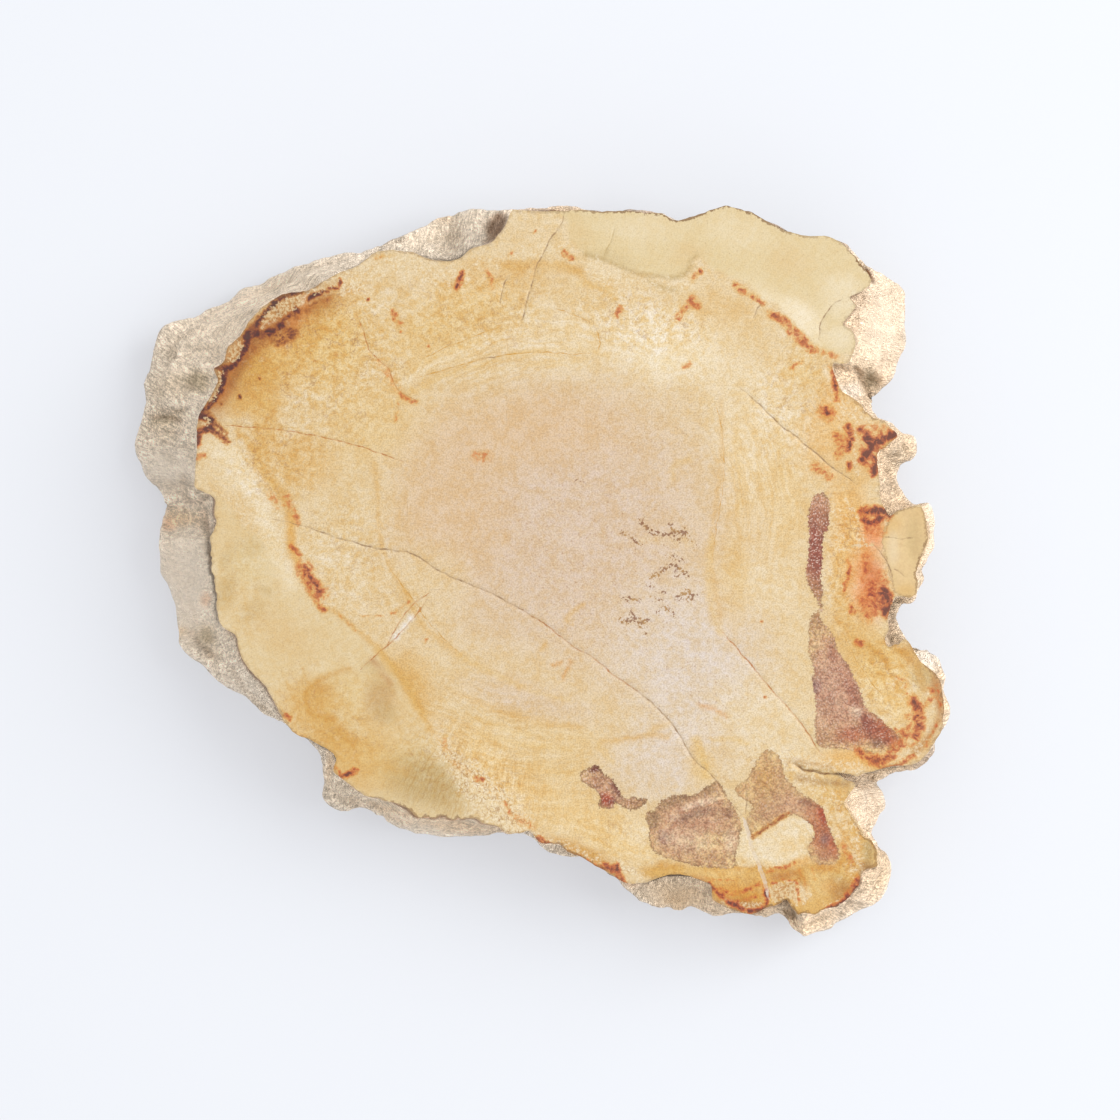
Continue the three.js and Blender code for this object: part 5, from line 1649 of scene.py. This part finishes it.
bead = face.cells(0.25, bent, voronoi_dimensions="2D")
bead_share = bead.rise(0.4, 0.12) * dotted * bead.luck().rise(0.05, 0.5)
bead_share = bead_share * face.noise(0.7, 3).rise(0.35, 0.6, 0.35, 0.95)
patch = face.blend(bead_share, patch, paint(230, 198, 182))
patch = face.blend(bead.rise(0.4, 0.65) * clotted * 0.6, patch, (0.78, 0.7, 0.68), "MULTIPLY")
face.lay(patch_edge.rise(-0.3, 0.5), patch)
face.lay(patch_line, paint(124, 86, 58))

# %% Finish of the face: rust
iron = face.read("rust")
rust_break = (face.noise(0.9, 5, bent) + face.noise(0.34, 4, bent)).rise(0.8, 1.18, 0.74, 1.18)
edge_break = face.noise(0.45, 6, bent).swing(0.16, 0.13) * iron.rise(0.04, 0.3)
rusted = iron * rust_break + edge_break
face.lay((iron + rusted).rise(0.03, 0.8, 0.0, 0.95), (0.96, 0.79, 0.5), "MULTIPLY")
young = face.ramp(rusted, [
    (0.2, paint(222, 146, 80), 0.0), (0.38, paint(212, 126, 72), 0.5), (0.54, paint(196, 98, 58), 0.78),
    (0.72, paint(156, 68, 46), 0.86), (0.92, paint(108, 52, 42), 0.92),
])
old = face.ramp(rusted, [
    (0.16, paint(198, 138, 70), 0.0), (0.34, paint(180, 116, 60), 0.5), (0.52, paint(148, 86, 54), 0.82),
    (0.72, paint(114, 60, 48), 0.92), (0.94, paint(86, 48, 46), 0.95),
])
age = face.read("rust_age")
rust_share = face.node("Mix", {0: age, 2: young.twin("Alpha"), 3: old.twin("Alpha")})
rust_grain = face.noise(0.2, 4).swing(0.12)
face.lay(rust_share, face.tinted(
    face.blend(age, young, old), rust_grain, 1.0, (1.14, 1.14, 1.12), (0.8, 0.76, 0.74)
))

# %% Finish of the face: rim and cracks
strip_edge = face.read("strip_depth") + face.noise(0.3, 4).swing(0.2, 2.4)
strip = face.blend(face.noise(0.3, 4).rise(0.42, 0.58), paint(196, 146, 88), TONES["cream"])
strip = face.tinted(strip, face.noise(0.18, 4).swing(0.12), 0.9, grey(1.08), (0.84, 0.78, 0.68))
face.lay(strip_edge.rise(-0.6, 1.4, 0.0, 0.78), strip)

rim_edge = face.read("rim_gap") + face.noise(0.45, 4).swing(0.2, 1.6)
rim_share = rim_edge.rise(2.2, 0.9) * face.read("rim_crust")
face.lay(rim_share * 0.85, paint(134, 96, 60))

in_crack = (face.read("crack_depth") + face.noise(0.3, 2).swing(0.2, 0.35)).rise(-0.4, 0.5)
crack_share = face.noise(1.1, 3).rise(0.4, 0.62, 0.3, 0.85)
face.lay(in_crack * crack_share, face.read("crack_fill", "Color"))

rough = face.noise(0.5, 3).rise(0.3, 0.7, 0.34, 0.46) + crumb_share * 0.25
low_spots = crumb_gap * crumb_share + pore * 0.4 + in_crack * 0.5 + rim_share * 0.8
face.dress(rough, low_spots * -1.0, 0.03 * MM, 0.6)

# %% [markdown]
# The rind is dry and matte. Its colour varies along the fibres, its hollows get painted
# shade and its ridges a painted highlight. The relief itself is in the mesh, and the
# bump only adds grain that is finer than the mesh.

# %% Finish of the rind
PALER, DULLER = grey(1.10), (0.86, 0.85, 0.83)
PALE_GRAIN, DARK_GRAIN = grey(1.18), (0.74, 0.73, 0.71)
bark = Finish("rough_rind", "rind_wash", 0.25)
run_place = bark.read("rind_run", "Vector")
laid = bark.read("rind_lay")
sugary = bark.read("rind_sugar")
unpolished = bark.read("rind_smooth") * -0.8 + 1.0


def strands(size, long):
    """Streaks that run down the rind, or along the rim where the stone lies that way."""
    down = bark.noise(size, 6, run_place * (1, 1, 1 / long))
    level = bark.noise(size, 6, run_place * (1 / long, 1 / long, 1))
    return (down + (level - down) * laid).swing(0.12)


coarse, hair = strands(0.46, 6), strands(0.18, 7)
blotch = bark.noise(1.5, 5).swing(0.16)
crumble = bark.noise(0.42, 5).swing(0.12) * laid.rise(0, 1, 1.0, 0.45)
# Painted shade in the hollows of the relief and a painted highlight on its ridges.
painted_relief_shade = bark.read("rind_hollow").swing(-0.9, middle=0.0)
grit = bark.noise(0.17, 3).swing(0.16)
bark.tint(blotch * unpolished, 0.42, PALER, DULLER)
bark.tint(coarse * unpolished, 0.6, PALER, DULLER)
bark.tint(hair * unpolished, 0.8, PALE_GRAIN, DARK_GRAIN)
bark.tint(crumble * unpolished, 0.7, PALE_GRAIN, DARK_GRAIN)
bark.tint(painted_relief_shade * unpolished, 0.65, PALER, DULLER)
bark.tint(grit * sugary.rise(0, 1, 0.7, 1.3) * unpolished, 1.0, PALE_GRAIN, DARK_GRAIN)
pepper = bark.noise(0.3, 4).rise(0.36, 0.28) * sugary.rise(0, 1, 0.35, 0.75)
bark.lay(pepper * unpolished, paint(124, 113, 100))
bark.dress(grit.rise(-1, 1, 0.95, 0.78), hair * 0.5 + coarse * 0.5 + grit * 0.6, 0.13 * MM, 1.0)

# %% [markdown]
# The underside isn't seen in the photograph. A slice is sawn there and left as the saw
# leaves it: the same wood, paler with stone dust, with faint parallel saw lines.

# %% Finish of the underside
SAW_SPACING = 0.9
sawn = Finish("sawn_underside", "under_wash", 0.3)


def vary(value, up, above, down, below):
    """Lays one tone where value is above 0, and another where it is below."""
    sawn.lay(value.share(up), TONES[above])
    sawn.lay(value.share(-down), TONES[below])


vary(
    sawn.noise(0.9, 3, sawn.read("under_growth", "Vector") * (0.9, 0.9, 1.0)).swing(0.2),
    0.3, "glow", 0.25, "deep gold",
)
cloudy = sawn.noise(1.5, 4).swing(0.2)
vary(cloudy, 0.3, "pale", 0.25, "tan")
rusted = sawn.read("under_rust") * sawn.noise(0.8, 4).rise(0.3, 0.7, 0.5, 1.3)
rust_ramp = sawn.ramp(rusted, [
    (0.0, TONES["amber"], 0.0), (0.3, paint(220, 160, 100), 0.5), (0.55, paint(196, 110, 70), 0.75),
    (0.8, paint(140, 80, 56), 0.85),
])
sawn.lay(rust_ramp.twin("Alpha"), rust_ramp)
saw_lines = sawn.noise(1.0, 3, sawn.place * (1 / SAW_SPACING, 0.02, 1.0)).swing(0.15)
sawn.lay(0.22, TONES["bone"])
vary(saw_lines, 0.14, "bone", 0.14, "earth")
sawn.dress(cloudy.rise(-1, 1, 0.7, 0.82), saw_lines + sawn.noise(0.2, 3), 0.02 * MM, 0.7)

# %% [markdown]
# Last, the stone takes its three finishes, rides on the frame's only body and stands in
# for the solid.

# %% Hand over to the frame
for finish in (face, bark, sawn):
    mesh.materials.append(finish.material)
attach(stone, "root")
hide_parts(NODE)
